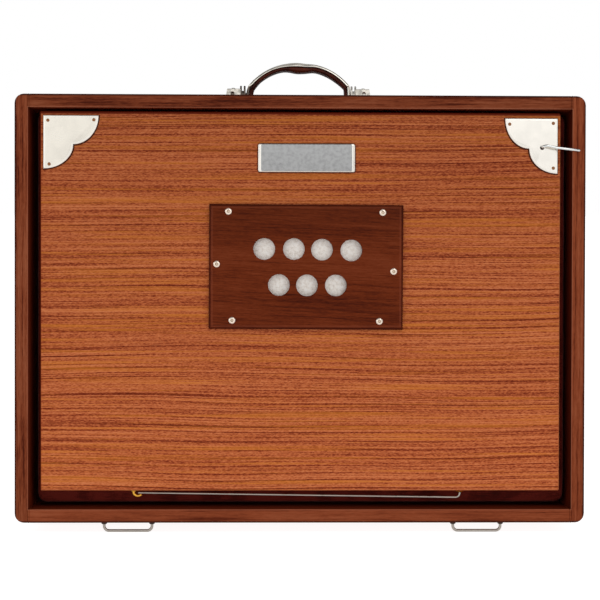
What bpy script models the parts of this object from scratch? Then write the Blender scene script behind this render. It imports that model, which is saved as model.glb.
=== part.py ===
"""A shruti box: a hand-pumped reed drone in a flat wooden case with a carrying handle.

X runs to the right of the pump side, +Y from the pump side to the playing side, +Z up.
Z is 0 on the floor under the wire feet. All sizes are in metres.
"""

import math

import bmesh
import bpy
from mathutils import Matrix, Vector

# Case
CASE_WIDTH = 0.400
CASE_HEIGHT = 0.300
CASE_DEPTH = 0.088
WALL = 0.0095
CORNER_RADIUS = 0.0065
EDGE_SOFTENING = 0.0007
GAP = 0.0003  # between pieces that touch

# Wire feet
FOOT_HEIGHT = 0.0074
FOOT_WIRE = 0.0010
FOOT_SPAN = 0.0336
FOOT_END = 0.0770  # from the case's end to the foot's middle
FOOT_SHIFT = 0.0018
FOOT_INSET = 0.0060
FOOT_PIN = 0.0065

# Partition between the pump and the reservoir
PARTITION_SHARE = 0.4773  # of the case's depth, from its pump side to the board's far face
PARTITION_THICKNESS = 0.0060
PORT_RADIUS = 0.0070
PORT_PITCH = 0.0260
PORT_COUNT = 5
PORT_HEIGHT = 0.073
PORT_COVER = 0.0090  # how far the flap reaches past the ports
FLAP_THICKNESS = 0.0015

# Pump board and what is on it
PUMP_SIDE_GAP = 0.0075
PUMP_TOP_GAP = 0.0020
PUMP_BOTTOM_GAP = 0.0125
PUMP_RECESS = 0.0045
BOARD_THICKNESS = 0.0060
VALVE_WIDTH = 0.1364
VALVE_HEIGHT = 0.0875
VALVE_THICKNESS = 0.0035
VALVE_SLOPE = 0.0022
VALVE_X = 0.0044
VALVE_TILT = 0.5  # degrees, its right end down
VALVE_SHARE = 0.589  # of the board's height, to the plate's middle
WINDOW_MARGIN = 0.0170
HOLE_RADIUS = 0.00775
HOLE_PITCH = 0.0204
HOLE_COUNTS = (4, 3)  # in the upper row and the lower one
HOLE_RISES = (0.0118, -0.0134)  # over the plate's middle
FLAP_PLAY = 0.0025
NAME_WIDTH = 0.0690
NAME_HEIGHT = 0.0196
NAME_THICKNESS = 0.0012
NAME_SHARE = 0.875  # of the board's height, to the plate's middle
NAME_RADIUS = 0.0020
CORNER_SIDE = 0.0386
CORNER_NOTCH = 0.0212  # where the two lobes meet, from both straight edges
CORNER_THICKNESS = 0.0010
CORNER_INSET = 0.0022
CORNER_DROPS = (0.0024, 0.0046)  # left and right, under the board's top edge

# Latch hook
LATCH_WIRE = 0.00105
LATCH_INSET = 0.0132
LATCH_DROP = 0.0246
LATCH_FALL = 0.0038
LATCH_LAP = 0.0060
LATCH_PIN = 0.0030

# Swinging stay wire under the pump board
STAY_WIRE = 0.00075
STAY_END = 0.0700  # from the board's end to the eyelet
STAY_DROPS = (0.0026, 0.0056)  # hooked end and turning end, under the board
STAY_PIN = 0.0050
CUP_RADIUS = 0.0030
EYELET_RADIUS = 0.00315
EYELET_THICKNESS = 0.0012
CLEARANCE = 0.00035  # round a pin in its hole

# Bellows
CLOTH = 0.0006
FOLD_DEPTH = 0.0120
PUMP_CLOTH_SIDE_GAP = 0.0045
PUMP_CLOTH_TOP_GAP = 0.0013
PUMP_CLOTH_BOTTOM_GAP = 0.0043
CLOTH_CORNER = 0.0050
CLOTH_EDGE = 0.0012  # how far the cloth reaches past the reservoir board
PUMP_FOLDS = 3
RESERVOIR_FOLDS = 1

# Playing side
REED_ZONE = 0.0927
RAIL_THICKNESS = 0.0080
RAIL_HOLE_RADIUS = 0.0040
RAIL_HOLE_COUNT = 6
REED_BOARD_RECESS = 0.0080
REED_BOARD_THICKNESS = 0.0080
RESERVOIR_CLOTH = 0.0078  # from the frame to the board, at rest
FRAME_THICKNESS = 0.0025
FRAME_BORDER = 0.0145
RESERVOIR_SHARE = 0.2273  # of the case's depth, left behind the board
RESERVOIR_SIDE_GAP = 0.0045
RESERVOIR_TOP_GAP = 0.0035
RESERVOIR_BOTTOM_GAP = 0.0071
NOTES = 13
NOTE_END = 0.0195  # from the case's inner wall to the first note
NOTE_HOLE_RADIUS = 0.0045
LEVER_PIVOT_DROP = 0.0135
LEVER_ARM = 0.0300
LEVER_LENGTH = 0.0420
LEVER_THICKNESS = 0.0016
LEVER_HALF_WIDTH = 0.0032
PAD_RADIUS = 0.0065
PAD_THICKNESS = 0.0018
BOSS_RADIUS = 0.0045
KNOB_RADIUS = 0.0030
KNOB_HEIGHT = 0.0037
REED_WIDTH = 0.0100
REED_THICKNESS = 0.0020
REED_LENGTHS = (0.0480, 0.0300)  # lowest note, highest note
TONGUE_WIDTH = 0.0042
TONGUE_SLOT = 0.0006

# Coil springs
SPRING_WIRE = 0.0008
PUMP_SPRING_RADIUS = 0.0120
PUMP_SPRING_TURNS = 4
PUMP_SPRING_SHARE = 0.37  # of the board's height
RESERVOIR_SPRING_RADIUS = 0.0050
RESERVOIR_SPRING_TURNS = 5
RESERVOIR_SPRING_END = 0.0760  # from the board's end
RESERVOIR_SPRING_SHARE = 0.62  # of the board's height

# Handle
HANDLE_X = -0.0015
HANDLE_RISE = 0.0290
ARCH_HALF_WIDTH = 0.0380
ARCH_FOOT = 0.0026
PIVOT_RISE = 0.0054
STRAP_THICKNESS = 0.0018
STRAP_HALF_WIDTHS = (0.0040, 0.0074)  # at the foot, at the crown
GRIP_THICKNESS = 0.0040
GRIP_HALF_WIDTHS = (0.0044, 0.0080)
GRIP_BUMP = 0.0010
PIVOT_PIN = 0.0014
EAR_THICKNESS = 0.0040
EAR_HALF_WIDTH = 0.0050
EAR_RISE = 0.0125
BLOCK_LENGTH = 0.0105
BLOCK_HALF_WIDTH = 0.0090
BLOCK_RISE = 0.0104

# Planes that follow from the sizes above
CASE_BASE = FOOT_HEIGHT
CASE_TOP = CASE_BASE + CASE_HEIGHT
INNER_X = CASE_WIDTH / 2 - WALL
INNER_BASE = CASE_BASE + WALL
INNER_TOP = CASE_TOP - WALL
CASE_MIDDLE = GAP / 2 + LATCH_WIRE  # the origin is under the middle of case and hook
FRONT = CASE_MIDDLE - CASE_DEPTH / 2
BACK = CASE_MIDDLE + CASE_DEPTH / 2
PARTITION_BACK = FRONT + PARTITION_SHARE * CASE_DEPTH
PARTITION_FRONT = PARTITION_BACK - PARTITION_THICKNESS
PUMP_HALF_WIDTH = INNER_X - PUMP_SIDE_GAP
PUMP_BASE = INNER_BASE + PUMP_BOTTOM_GAP
PUMP_TOP = INNER_TOP - PUMP_TOP_GAP
PUMP_FRONT = FRONT + PUMP_RECESS
PUMP_BACK = PUMP_FRONT + BOARD_THICKNESS
PUMP_MIDDLE = (PUMP_FRONT + PUMP_BACK) / 2
VALVE_Z = PUMP_BASE + VALVE_SHARE * (PUMP_TOP - PUMP_BASE)
NAME_Z = PUMP_BASE + NAME_SHARE * (PUMP_TOP - PUMP_BASE)
STAY_REACH = PUMP_HALF_WIDTH - STAY_END
FOOT_X = CASE_WIDTH / 2 - FOOT_END
RAIL_TOP = INNER_TOP - REED_ZONE
RAIL_BASE = RAIL_TOP - RAIL_THICKNESS
REED_BOARD_BACK = BACK - REED_BOARD_RECESS
REED_BOARD_FRONT = REED_BOARD_BACK - REED_BOARD_THICKNESS
RESERVOIR_OUTER = BACK - RESERVOIR_SHARE * CASE_DEPTH
RESERVOIR_INNER = RESERVOIR_OUTER - BOARD_THICKNESS
RESERVOIR_HALF_WIDTH = INNER_X - RESERVOIR_SIDE_GAP
FRAME_FRONT = RESERVOIR_INNER - RESERVOIR_CLOTH - FRAME_THICKNESS
RESERVOIR_BASE = INNER_BASE + RESERVOIR_BOTTOM_GAP
RESERVOIR_TOP = RAIL_BASE - RESERVOIR_TOP_GAP
NOTE_PITCH = 2 * (INNER_X - NOTE_END) / (NOTES - 1)
LEVER_PIVOT_Z = INNER_TOP - LEVER_PIVOT_DROP
NOTE_Z = LEVER_PIVOT_Z - LEVER_ARM
HANDLE_PIVOT_Z = CASE_TOP + PIVOT_RISE

# Colours: red, green, blue, then roughness and metallic
FINISHES = {
    "rosewood": ((0.13, 0.030, 0.014), 0.35, 0.0),
    "teak_veneer": ((0.42, 0.15, 0.055), 0.40, 0.0),
    "dark_rosewood": ((0.075, 0.018, 0.010), 0.38, 0.0),
    "plywood": ((0.45, 0.30, 0.17), 0.60, 0.0),
    "bellows_cloth": ((0.045, 0.004, 0.006), 0.85, 0.0),
    "white_leather": ((0.72, 0.70, 0.66), 0.90, 0.0),
    "grip_leather": ((0.09, 0.022, 0.012), 0.55, 0.0),
    "nickel": ((0.75, 0.73, 0.69), 0.15, 1.0),
    "brushed_aluminium": ((0.62, 0.62, 0.62), 0.35, 1.0),
    "steel_wire": ((0.60, 0.60, 0.60), 0.25, 1.0),
    "brass": ((0.72, 0.50, 0.18), 0.28, 1.0),
}


def clear_scene():
    for obj in list(bpy.data.objects):
        bpy.data.objects.remove(obj, do_unlink=True)


def finish(name):
    """The material of this name, made on first use."""
    found = bpy.data.materials.get(name)
    if found:
        return found
    colour, roughness, metallic = FINISHES[name]
    made = bpy.data.materials.new(name)
    made.use_nodes = True
    shader = made.node_tree.nodes["Principled BSDF"]
    shader.inputs["Base Color"].default_value = (*colour, 1.0)
    shader.inputs["Roughness"].default_value = roughness
    shader.inputs["Metallic"].default_value = metallic
    return made


def add_object(name, data, origin, look):
    """An object of this mesh or curve, drawn about the origin given."""
    obj = bpy.data.objects.new(name, data)
    bpy.context.scene.collection.objects.link(obj)
    data.transform(Matrix.Translation(-Vector(origin)))
    obj.location = origin
    if look:
        data.materials.append(finish(look))
    return obj


def skin(name, rings, look, origin=(0, 0, 0), loop=False):
    """A closed solid through rings of points: capped at its ends, or a loop of rings."""
    mesh = bpy.data.meshes.new(name)
    shell = bmesh.new()
    rows = [[shell.verts.new(point) for point in ring] for ring in rings]
    pairs = list(zip(rows, rows[1:]))
    if loop:
        pairs.append((rows[-1], rows[0]))
    else:
        shell.faces.new(rows[0])
        shell.faces.new(rows[-1])
    for near, far in pairs:
        for i in range(len(near)):
            shell.faces.new((near[i - 1], near[i], far[i], far[i - 1]))
    bmesh.ops.recalc_face_normals(shell, faces=shell.faces)
    shell.to_mesh(mesh)
    shell.free()
    return add_object(name, mesh, origin, look)


def front_ring(outline, y):
    return [(x, y, z) for x, z in outline]


def prism(name, outline, y0, y1, look, origin=(0, 0, 0)):
    """An outline of x and z, drawn out along Y."""
    return skin(name, [front_ring(outline, y0), front_ring(outline, y1)], look, origin)


def box(name, x, y, z, look, origin=(0, 0, 0)):
    """A block between two values of x, of y and of z."""
    outline = [(x[0], z[0]), (x[1], z[0]), (x[1], z[1]), (x[0], z[1])]
    return prism(name, outline, y[0], y[1], look, origin)


def arc(cx, cz, radius, start, end, steps):
    """Points on an arc, with its angles in degrees from +X."""
    angles = [math.radians(start + (end - start) * i / steps) for i in range(steps + 1)]
    return [(cx + radius * math.cos(a), cz + radius * math.sin(a)) for a in angles]


def circle(cx, cz, radius, sides):
    return arc(cx, cz, radius, 0, 360 - 360 / sides, sides - 1)


def round_rectangle(x0, x1, z0, z1, radius, steps=3):
    corners = ((x1, z0, -1, 1, 270), (x1, z1, -1, -1, 0), (x0, z1, 1, -1, 90), (x0, z0, 1, 1, 180))
    outline = []
    for x, z, inward_x, inward_z, start in corners:
        centre = (x + inward_x * radius, z + inward_z * radius)
        outline += arc(*centre, radius, start, start + 90, steps)
    return outline


def cylinder_y(name, x, z, radius, y0, y1, look=None, sides=20):
    return prism(name, circle(x, z, radius, sides), y0, y1, look)


def cylinder_z(name, x, y, radius, z0, z1, look=None, sides=12):
    ring = circle(x, y, radius, sides)
    return skin(name, [[(*point, z) for point in ring] for z in (z0, z1)], look)


def cylinder_x(name, y, z, radius, x0, x1, look=None, sides=12):
    ring = circle(y, z, radius, sides)
    return skin(name, [[(x, *point) for point in ring] for x in (x0, x1)], look)


def rounded_path(points, radius, steps=3):
    """The points with each inner corner rounded to this radius."""
    path = [Vector(points[0])]
    for before, corner, after in zip(points, points[1:], points[2:]):
        corner = Vector(corner)
        back = (Vector(before) - corner).normalized()
        ahead = (Vector(after) - corner).normalized()
        half = back.angle(ahead) / 2
        middle = corner + (back + ahead).normalized() * radius / math.sin(half)
        start = corner + back * radius / math.tan(half) - middle
        end = corner + ahead * radius / math.tan(half) - middle
        path += [middle + radius * start.slerp(end, i / steps) for i in range(steps + 1)]
    return path + [Vector(points[-1])]


def wire(name, path, radius, look, origin=(0, 0, 0), resolution=2):
    """A round wire along the path, with closed ends."""
    curve = bpy.data.curves.new(name, "CURVE")
    curve.dimensions = "3D"
    curve.bevel_depth = radius
    curve.bevel_resolution = resolution
    curve.use_fill_caps = True
    spline = curve.splines.new("POLY")
    spline.points.add(len(path) - 1)
    for point, place in zip(spline.points, path):
        point.co = (*place, 1.0)
    return add_object(name, curve, origin, look)


def combine(obj, other, operation):
    """A Boolean of the object with a helper, which is then hidden."""
    other.hide_render = True
    other.display_type = "WIRE"
    made = obj.modifiers.new(other.name, "BOOLEAN")
    made.object = other
    made.operation = operation
    made.solver = "EXACT"


def cut(obj, *cutters):
    for cutter in cutters:
        combine(obj, cutter, "DIFFERENCE")


def soften(obj, width=EDGE_SOFTENING, segments=1):
    """Takes the sharpness off the edges of a board."""
    made = obj.modifiers.new("soft_edges", "BEVEL")
    made.width = width
    made.segments = segments
    made.limit_method = "ANGLE"
    made.angle_limit = math.radians(40)


def smooth(obj, degrees=40):
    obj.data.shade_smooth()
    obj.data.set_sharp_from_angle(angle=math.radians(degrees))


def attach(child, parent):
    """Makes the child ride on its parent without moving it."""
    child.location -= parent.location
    child.parent = parent


def make_case():
    outer = CASE_WIDTH / 2
    corners = [
        *arc(outer - CORNER_RADIUS, CASE_BASE + CORNER_RADIUS, CORNER_RADIUS, 270, 360, 5),
        *arc(outer - CORNER_RADIUS, CASE_TOP - CORNER_RADIUS, CORNER_RADIUS, 0, 90, 5),
    ]
    right = corners + [(INNER_X, CASE_TOP), (INNER_X, CASE_BASE)]
    left = [(-x, z) for x, z in right]
    for name, outline in (("case_left_side", left), ("case_right_side", right)):
        side = prism(name, outline, FRONT, BACK, "rosewood")
        soften(side)
        smooth(side)
    span = (GAP - INNER_X, INNER_X - GAP)
    top = box("case_top", span, (FRONT, BACK), (INNER_TOP, CASE_TOP), "rosewood")
    bottom = box("case_bottom", span, (FRONT, BACK), (CASE_BASE, INNER_BASE), "rosewood")
    soften(top)
    soften(bottom)
    for i, (x, y, _) in enumerate(foot_places()):
        depth = CASE_BASE + FOOT_PIN + 2 * GAP
        radius = FOOT_WIRE + CLEARANCE
        cut(bottom, cylinder_z(f"foot_hole_{i}", x, y, radius, CASE_BASE - 0.002, depth))


def foot_places():
    """For each foot, where its turning leg stands and which way along X the foot runs."""
    y = FRONT + FOOT_INSET
    front = [(centre + FOOT_SHIFT + FOOT_SPAN / 2, y, -1) for centre in (-FOOT_X, FOOT_X)]
    return front + [(-x, 2 * CASE_MIDDLE - y, -run) for x, y, run in front]


def make_feet():
    names = ("foot_front_left", "foot_front_right", "foot_back_right", "foot_back_left")
    for name, (x, y, run) in zip(names, foot_places()):
        low = FOOT_WIRE
        path = rounded_path(
            [
                (x, y, CASE_BASE + FOOT_PIN),
                (x, y, low),
                (x + run * FOOT_SPAN, y, low),
                (x + run * FOOT_SPAN, y, CASE_BASE - GAP),
            ],
            2.5 * FOOT_WIRE,
        )
        wire(name, path, FOOT_WIRE, "steel_wire", (x, y, 0))


def make_partition():
    board = box(
        "partition_board",
        (GAP - INNER_X, INNER_X - GAP),
        (PARTITION_FRONT, PARTITION_BACK),
        (INNER_BASE + GAP, INNER_TOP - GAP),
        "plywood",
    )
    z = INNER_BASE + PORT_HEIGHT
    for i in range(PORT_COUNT):
        x = (i - (PORT_COUNT - 1) / 2) * PORT_PITCH
        port = cylinder_y(
            f"port_{i}", x, z, PORT_RADIUS, PARTITION_FRONT - 0.002, PARTITION_BACK + 0.002
        )
        cut(board, port)
    reach = PORT_RADIUS + PORT_COVER
    half_width = (PORT_COUNT - 1) * PORT_PITCH / 2 + reach
    flap_front = PARTITION_BACK + GAP
    make_flap("transfer_valve_flap", 0, half_width, z + reach, z - reach, flap_front)


def make_flap(name, x, half_width, top, base, front):
    """A leather flap that hangs from its top edge and covers the holes in front of it."""
    origin = (x, front + FLAP_THICKNESS / 2, top - 0.0005)
    span = (x - half_width, x + half_width)
    return box(name, span, (front, front + FLAP_THICKNESS), (base, top), "white_leather", origin)


def make_pump():
    hinge = (0, PUMP_BACK, PUMP_BASE)
    board = box(
        "pump_board",
        (-PUMP_HALF_WIDTH, PUMP_HALF_WIDTH),
        (PUMP_FRONT, PUMP_BACK),
        (PUMP_BASE, PUMP_TOP),
        "teak_veneer",
        hinge,
    )
    soften(board)
    riders = [*make_inlet_valve(board), make_name_plate(), *make_corner_plates(board)]
    riders += [make_cup_hook(), make_eyelet(), make_stay(board), make_latch(board)]
    for rider in riders:
        attach(rider, board)


def tilted(x, z):
    """The point turned with the valve plate, which is screwed on a little askew."""
    angle = math.radians(VALVE_TILT)
    right = x - VALVE_X
    up = z - VALVE_Z
    return (
        VALVE_X + right * math.cos(angle) + up * math.sin(angle),
        VALVE_Z + up * math.cos(angle) - right * math.sin(angle),
    )


def make_inlet_valve(board):
    half_x = VALVE_WIDTH / 2
    half_z = VALVE_HEIGHT / 2
    back = PUMP_FRONT - GAP
    front = back - VALVE_THICKNESS

    def ring(inset, y):
        x0 = VALVE_X - half_x + inset
        x1 = VALVE_X + half_x - inset
        z0 = VALVE_Z - half_z + inset
        z1 = VALVE_Z + half_z - inset
        return front_ring([tilted(*point) for point in ((x0, z0), (x1, z0), (x1, z1), (x0, z1))], y)

    stages = [ring(0, back), ring(0, front + VALVE_SLOPE / 2), ring(VALVE_SLOPE, front)]
    plate = skin("inlet_valve_plate", stages, "dark_rosewood", (VALVE_X, back, VALVE_Z))
    for row, (count, rise) in enumerate(zip(HOLE_COUNTS, HOLE_RISES)):
        for i in range(count):
            x = VALVE_X + (i - (count - 1) / 2) * HOLE_PITCH
            place = tilted(x, VALVE_Z + rise)
            name = f"inlet_hole_{row}_{i}"
            cut(plate, cylinder_y(name, *place, HOLE_RADIUS, front - 0.002, back + 0.002))
    window_x = half_x - WINDOW_MARGIN
    window_z = half_z - 0.8 * WINDOW_MARGIN
    window = box(
        "valve_window",
        (VALVE_X - window_x, VALVE_X + window_x),
        (PUMP_FRONT - 0.002, PUMP_BACK + 0.002),
        (VALVE_Z - window_z, VALVE_Z + window_z),
        None,
    )
    cut(board, window)
    flap_x = window_x - FLAP_PLAY
    flap_z = window_z - FLAP_PLAY
    ends = (VALVE_Z + flap_z, VALVE_Z - flap_z)
    flap = make_flap("inlet_valve_flap", VALVE_X, flap_x, *ends, PUMP_FRONT)
    return plate, flap


def make_name_plate():
    outline = round_rectangle(
        VALVE_X - NAME_WIDTH / 2,
        VALVE_X + NAME_WIDTH / 2,
        NAME_Z - NAME_HEIGHT / 2,
        NAME_Z + NAME_HEIGHT / 2,
        NAME_RADIUS,
    )
    back = PUMP_FRONT - GAP
    return prism("name_plate", outline, back - NAME_THICKNESS, back, "brushed_aluminium")


def make_corner_plates(board):
    """Two-lobed plates on the upper corners, the right one drilled for the latch hook."""
    back = PUMP_FRONT - GAP
    quarter = arc(0, 0, 1, 0, -90, 7)
    plates = []
    for side, name, drop in ((-1, "corner_plate_left", 0), (1, "corner_plate_right", 1)):
        x = side * (PUMP_HALF_WIDTH - CORNER_INSET)
        z = PUMP_TOP - CORNER_DROPS[drop]
        lobe = [(CORNER_NOTCH + (CORNER_SIDE - CORNER_NOTCH) * a, CORNER_NOTCH * b) for a, b in quarter]
        outline = [(0, 0)] + lobe + [(-b, -a) for a, b in reversed(lobe[:-1])]
        shape = [(x - side * right, z + up) for right, up in outline]
        plate = prism(name, shape, back - CORNER_THICKNESS, back, "nickel")
        smooth(plate)
        plates.append(plate)
    x, z = latch_place()
    for holder, name in ((board, "latch_hole_in_board"), (plates[1], "latch_hole_in_plate")):
        end = PUMP_FRONT + LATCH_PIN + 2 * GAP
        cut(holder, cylinder_y(name, x, z, LATCH_WIRE + CLEARANCE, FRONT, end, None, 12))
    return plates


def latch_place():
    return PUMP_HALF_WIDTH - LATCH_INSET, PUMP_TOP - LATCH_DROP


def make_latch(board):
    """A wire hook that turns in the board's corner and laps over the case's front edge."""
    x, z = latch_place()
    y = FRONT - GAP - LATCH_WIRE
    path = rounded_path(
        [(x, PUMP_FRONT + LATCH_PIN, z), (x, y, z), (INNER_X + LATCH_LAP, y, z - LATCH_FALL)],
        2 * LATCH_WIRE,
    )
    return wire("latch_hook", path, LATCH_WIRE, "steel_wire", (x, PUMP_FRONT, z))


def make_cup_hook():
    """An open hook under the board that holds the free end of the stay."""
    x = -STAY_REACH - 0.7 * CUP_RADIUS
    z = PUMP_BASE - CUP_RADIUS
    curl = arc(x, z, CUP_RADIUS, 180, 325, 8)
    outline = [(x - CUP_RADIUS, PUMP_BASE - GAP)] + curl
    path = [(point[0], PUMP_MIDDLE, point[1]) for point in outline]
    return wire("stay_hook", path, STAY_WIRE, "brass", (x, PUMP_MIDDLE, PUMP_BASE))


def make_eyelet():
    """A flanged bush under the board, in which the stay turns."""
    top = PUMP_BASE - GAP
    name = "stay_eyelet"
    bush = cylinder_z(
        name, STAY_REACH, PUMP_MIDDLE, EYELET_RADIUS, top - EYELET_THICKNESS, top, "brass", 16
    )
    bore = cylinder_z(
        "eyelet_bore",
        STAY_REACH,
        PUMP_MIDDLE,
        STAY_WIRE + CLEARANCE,
        top - 2 * EYELET_THICKNESS,
        top + EYELET_THICKNESS,
    )
    cut(bush, bore)
    smooth(bush)
    return bush


def make_stay(board):
    """A long wire that turns in the eyelet and lies in the cup hook when put away."""
    hole = cylinder_z(
        "stay_hole",
        STAY_REACH,
        PUMP_MIDDLE,
        STAY_WIRE + CLEARANCE,
        PUMP_BASE - 0.002,
        PUMP_BASE + STAY_PIN + 2 * GAP,
    )
    cut(board, hole)
    hooked, turning = STAY_DROPS
    path = rounded_path(
        [
            (STAY_REACH, PUMP_MIDDLE, PUMP_BASE + STAY_PIN),
            (STAY_REACH, PUMP_MIDDLE, PUMP_BASE - turning),
            (-STAY_REACH - 2 * STAY_WIRE, PUMP_MIDDLE, PUMP_BASE - hooked),
        ],
        3 * STAY_WIRE,
    )
    return wire("stay_wire", path, STAY_WIRE, "steel_wire", (STAY_REACH, PUMP_MIDDLE, PUMP_BASE))


def pleated_ring(name, half_width, base, top, y0, y1, folds, depth):
    """A ring of folded cloth between two planes, with its folds pointing out and in."""
    stations = 2 * folds + 2
    pitch = (y1 - y0) / (stations - 1)
    across = CLOTH * math.hypot(1, depth / pitch)
    outside = [(y0 + i * pitch, (depth - across) * ((i + 1) % 2)) for i in range(stations)]
    inside = [(y, inset + across) for y, inset in reversed(outside)]
    rings = []
    for y, inset in outside + inside:
        radius = max(CLOTH_CORNER - inset / 2, CLOTH_CORNER / 5)
        outline = round_rectangle(
            inset - half_width, half_width - inset, base + inset, top - inset, radius, 2
        )
        rings.append(front_ring(outline, y))
    return skin(name, rings, "bellows_cloth", (0, y1, base), loop=True)


def make_bellows():
    pleated_ring(
        "pump_bellows",
        INNER_X - PUMP_CLOTH_SIDE_GAP,
        INNER_BASE + PUMP_CLOTH_BOTTOM_GAP,
        INNER_TOP - PUMP_CLOTH_TOP_GAP,
        PUMP_BACK + GAP,
        PARTITION_FRONT - GAP,
        PUMP_FOLDS,
        FOLD_DEPTH,
    )
    pleated_ring(
        "reservoir_bellows",
        RESERVOIR_HALF_WIDTH + CLOTH_EDGE,
        RESERVOIR_BASE - 2 * CLOTH_EDGE,
        RESERVOIR_TOP + CLOTH_EDGE,
        FRAME_FRONT + FRAME_THICKNESS + GAP,
        RESERVOIR_INNER - GAP,
        RESERVOIR_FOLDS,
        0.8 * FOLD_DEPTH,
    )


def make_playing_side():
    span = (GAP - INNER_X, INNER_X - GAP)
    near = PARTITION_BACK + GAP
    rail = box(
        "reed_chest_rail", span, (near, REED_BOARD_BACK), (RAIL_BASE, RAIL_TOP), "rosewood"
    )
    soften(rail)
    for i in range(RAIL_HOLE_COUNT):
        x = (i - (RAIL_HOLE_COUNT - 1) / 2) * 2 * INNER_X / (RAIL_HOLE_COUNT + 1)
        y = near + RAIL_HOLE_RADIUS + 3 * GAP
        name = f"rail_hole_{i}"
        cut(rail, cylinder_z(name, x, y, RAIL_HOLE_RADIUS, RAIL_BASE - 0.002, RAIL_TOP + 0.002))
    reed_board = box(
        "reed_board",
        span,
        (REED_BOARD_FRONT, REED_BOARD_BACK),
        (RAIL_TOP + GAP, INNER_TOP - GAP),
        "teak_veneer",
    )
    soften(reed_board)
    frame = box(
        "reservoir_frame",
        span,
        (FRAME_FRONT, FRAME_FRONT + FRAME_THICKNESS),
        (INNER_BASE + GAP, RAIL_BASE - GAP),
        "plywood",
    )
    opening = box(
        "frame_opening",
        (FRAME_BORDER - INNER_X, INNER_X - FRAME_BORDER),
        (FRAME_FRONT - 0.002, FRAME_FRONT + FRAME_THICKNESS + 0.002),
        (INNER_BASE + FRAME_BORDER, RAIL_BASE - FRAME_BORDER),
        None,
    )
    cut(frame, opening)
    board = box(
        "reservoir_board",
        (-RESERVOIR_HALF_WIDTH, RESERVOIR_HALF_WIDTH),
        (RESERVOIR_INNER, RESERVOIR_OUTER),
        (RESERVOIR_BASE, RESERVOIR_TOP),
        "teak_veneer",
        (0, RESERVOIR_INNER, RESERVOIR_BASE),
    )
    soften(board)
    make_notes(reed_board)


def make_notes(reed_board):
    """A hole, a reed behind it and a lever over it for each note."""
    template = lever_template()
    shared = template.data
    for i in range(NOTES):
        x = (i - (NOTES - 1) / 2) * NOTE_PITCH
        hole = cylinder_y(
            f"note_hole_{i}",
            x,
            NOTE_Z,
            NOTE_HOLE_RADIUS,
            REED_BOARD_FRONT - 0.002,
            REED_BOARD_BACK + 0.002,
            None,
            14,
        )
        cut(reed_board, hole)
        lever = bpy.data.objects.new(f"tone_lever_{i + 1:02d}", shared)
        bpy.context.scene.collection.objects.link(lever)
        lever.location = (x, REED_BOARD_BACK, LEVER_PIVOT_Z)
        make_reed(i, x)
    bpy.data.objects.remove(template, do_unlink=True)


def lever_template():
    """A lever about its pivot: an eyed blade with a boss, a pad over the hole and a knob."""
    back = GAP + PAD_THICKNESS
    top = back + LEVER_THICKNESS
    neck = math.degrees(math.asin(LEVER_HALF_WIDTH / BOSS_RADIUS))
    waist = math.degrees(math.asin(LEVER_HALF_WIDTH / PAD_RADIUS))
    outline = arc(0, 0, BOSS_RADIUS, neck - 90, 270 - neck, 10)
    outline += arc(0, -LEVER_ARM, PAD_RADIUS, 90 + waist, 270 - waist, 6)
    outline += arc(0, KNOB_RADIUS - LEVER_LENGTH, LEVER_HALF_WIDTH, 180, 360, 6)
    outline += arc(0, -LEVER_ARM, PAD_RADIUS, waist - 90, 90 - waist, 6)
    blade = prism("lever_blade", outline, back, top, "nickel")
    overlap = LEVER_THICKNESS / 2
    pad = cylinder_y("pad", 0, -LEVER_ARM, PAD_RADIUS - GAP, GAP, back + overlap, None, 16)
    boss = cylinder_y("boss", 0, 0, BOSS_RADIUS - GAP, GAP, back + overlap, None, 12)
    knob_z = KNOB_RADIUS - LEVER_LENGTH
    knob = cylinder_y("knob", 0, knob_z, KNOB_RADIUS, top - overlap, top + KNOB_HEIGHT, None, 12)
    for helper in (pad, boss, knob):
        combine(blade, helper, "UNION")
    graph = bpy.context.evaluated_depsgraph_get()
    blade_mesh = bpy.data.meshes.new_from_object(blade.evaluated_get(graph))
    blade_mesh.name = "tone_lever"
    for helper in (pad, boss, knob):
        bpy.data.objects.remove(helper, do_unlink=True)
    blade.modifiers.clear()
    blade.data = blade_mesh
    smooth(blade)
    return blade


def make_reed(i, x):
    """A brass reed plate behind its hole, with a tongue cut free on three sides."""
    longest, shortest = REED_LENGTHS
    length = longest + (shortest - longest) * i / (NOTES - 1)
    back = REED_BOARD_FRONT - GAP
    front = back - REED_THICKNESS
    base = NOTE_Z - length * 0.45
    top = base + length
    half = REED_WIDTH / 2
    reed = box(f"reed_{i + 1:02d}", (x - half, x + half), (front, back), (base, top), "brass")
    inner = TONGUE_WIDTH / 2
    outer = inner + TONGUE_SLOT
    low = base + half
    root = top - length / 5
    slot = [
        (x - outer, low),
        (x + outer, low),
        (x + outer, root),
        (x + inner, root),
        (x + inner, low + TONGUE_SLOT),
        (x - inner, low + TONGUE_SLOT),
        (x - inner, root),
        (x - outer, root),
    ]
    cut(reed, prism(f"tongue_slot_{i}", slot, front - 0.002, back + 0.002, None))


def coil(name, x, z, radius, turns, y0, y1):
    """A coil spring along Y between two planes, and the least gap between its turns."""
    per_turn = 10
    start = y0 + SPRING_WIRE
    rise = y1 - y0 - 2 * SPRING_WIRE
    path = []
    for i in range(turns * per_turn + 1):
        angle = 2 * math.pi * i / per_turn
        y = start + rise * i / (turns * per_turn)
        path.append(Vector((x + radius * math.cos(angle), y, z + radius * math.sin(angle))))
    gaps = [(a - b).length for i, a in enumerate(path) for b in path[i + per_turn // 2 :]]
    print(f"{name}: least gap between turns {min(gaps) - 2 * SPRING_WIRE:.5f} m")
    wire(name, path, SPRING_WIRE, "steel_wire", (x, y1, z), 1)


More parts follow.
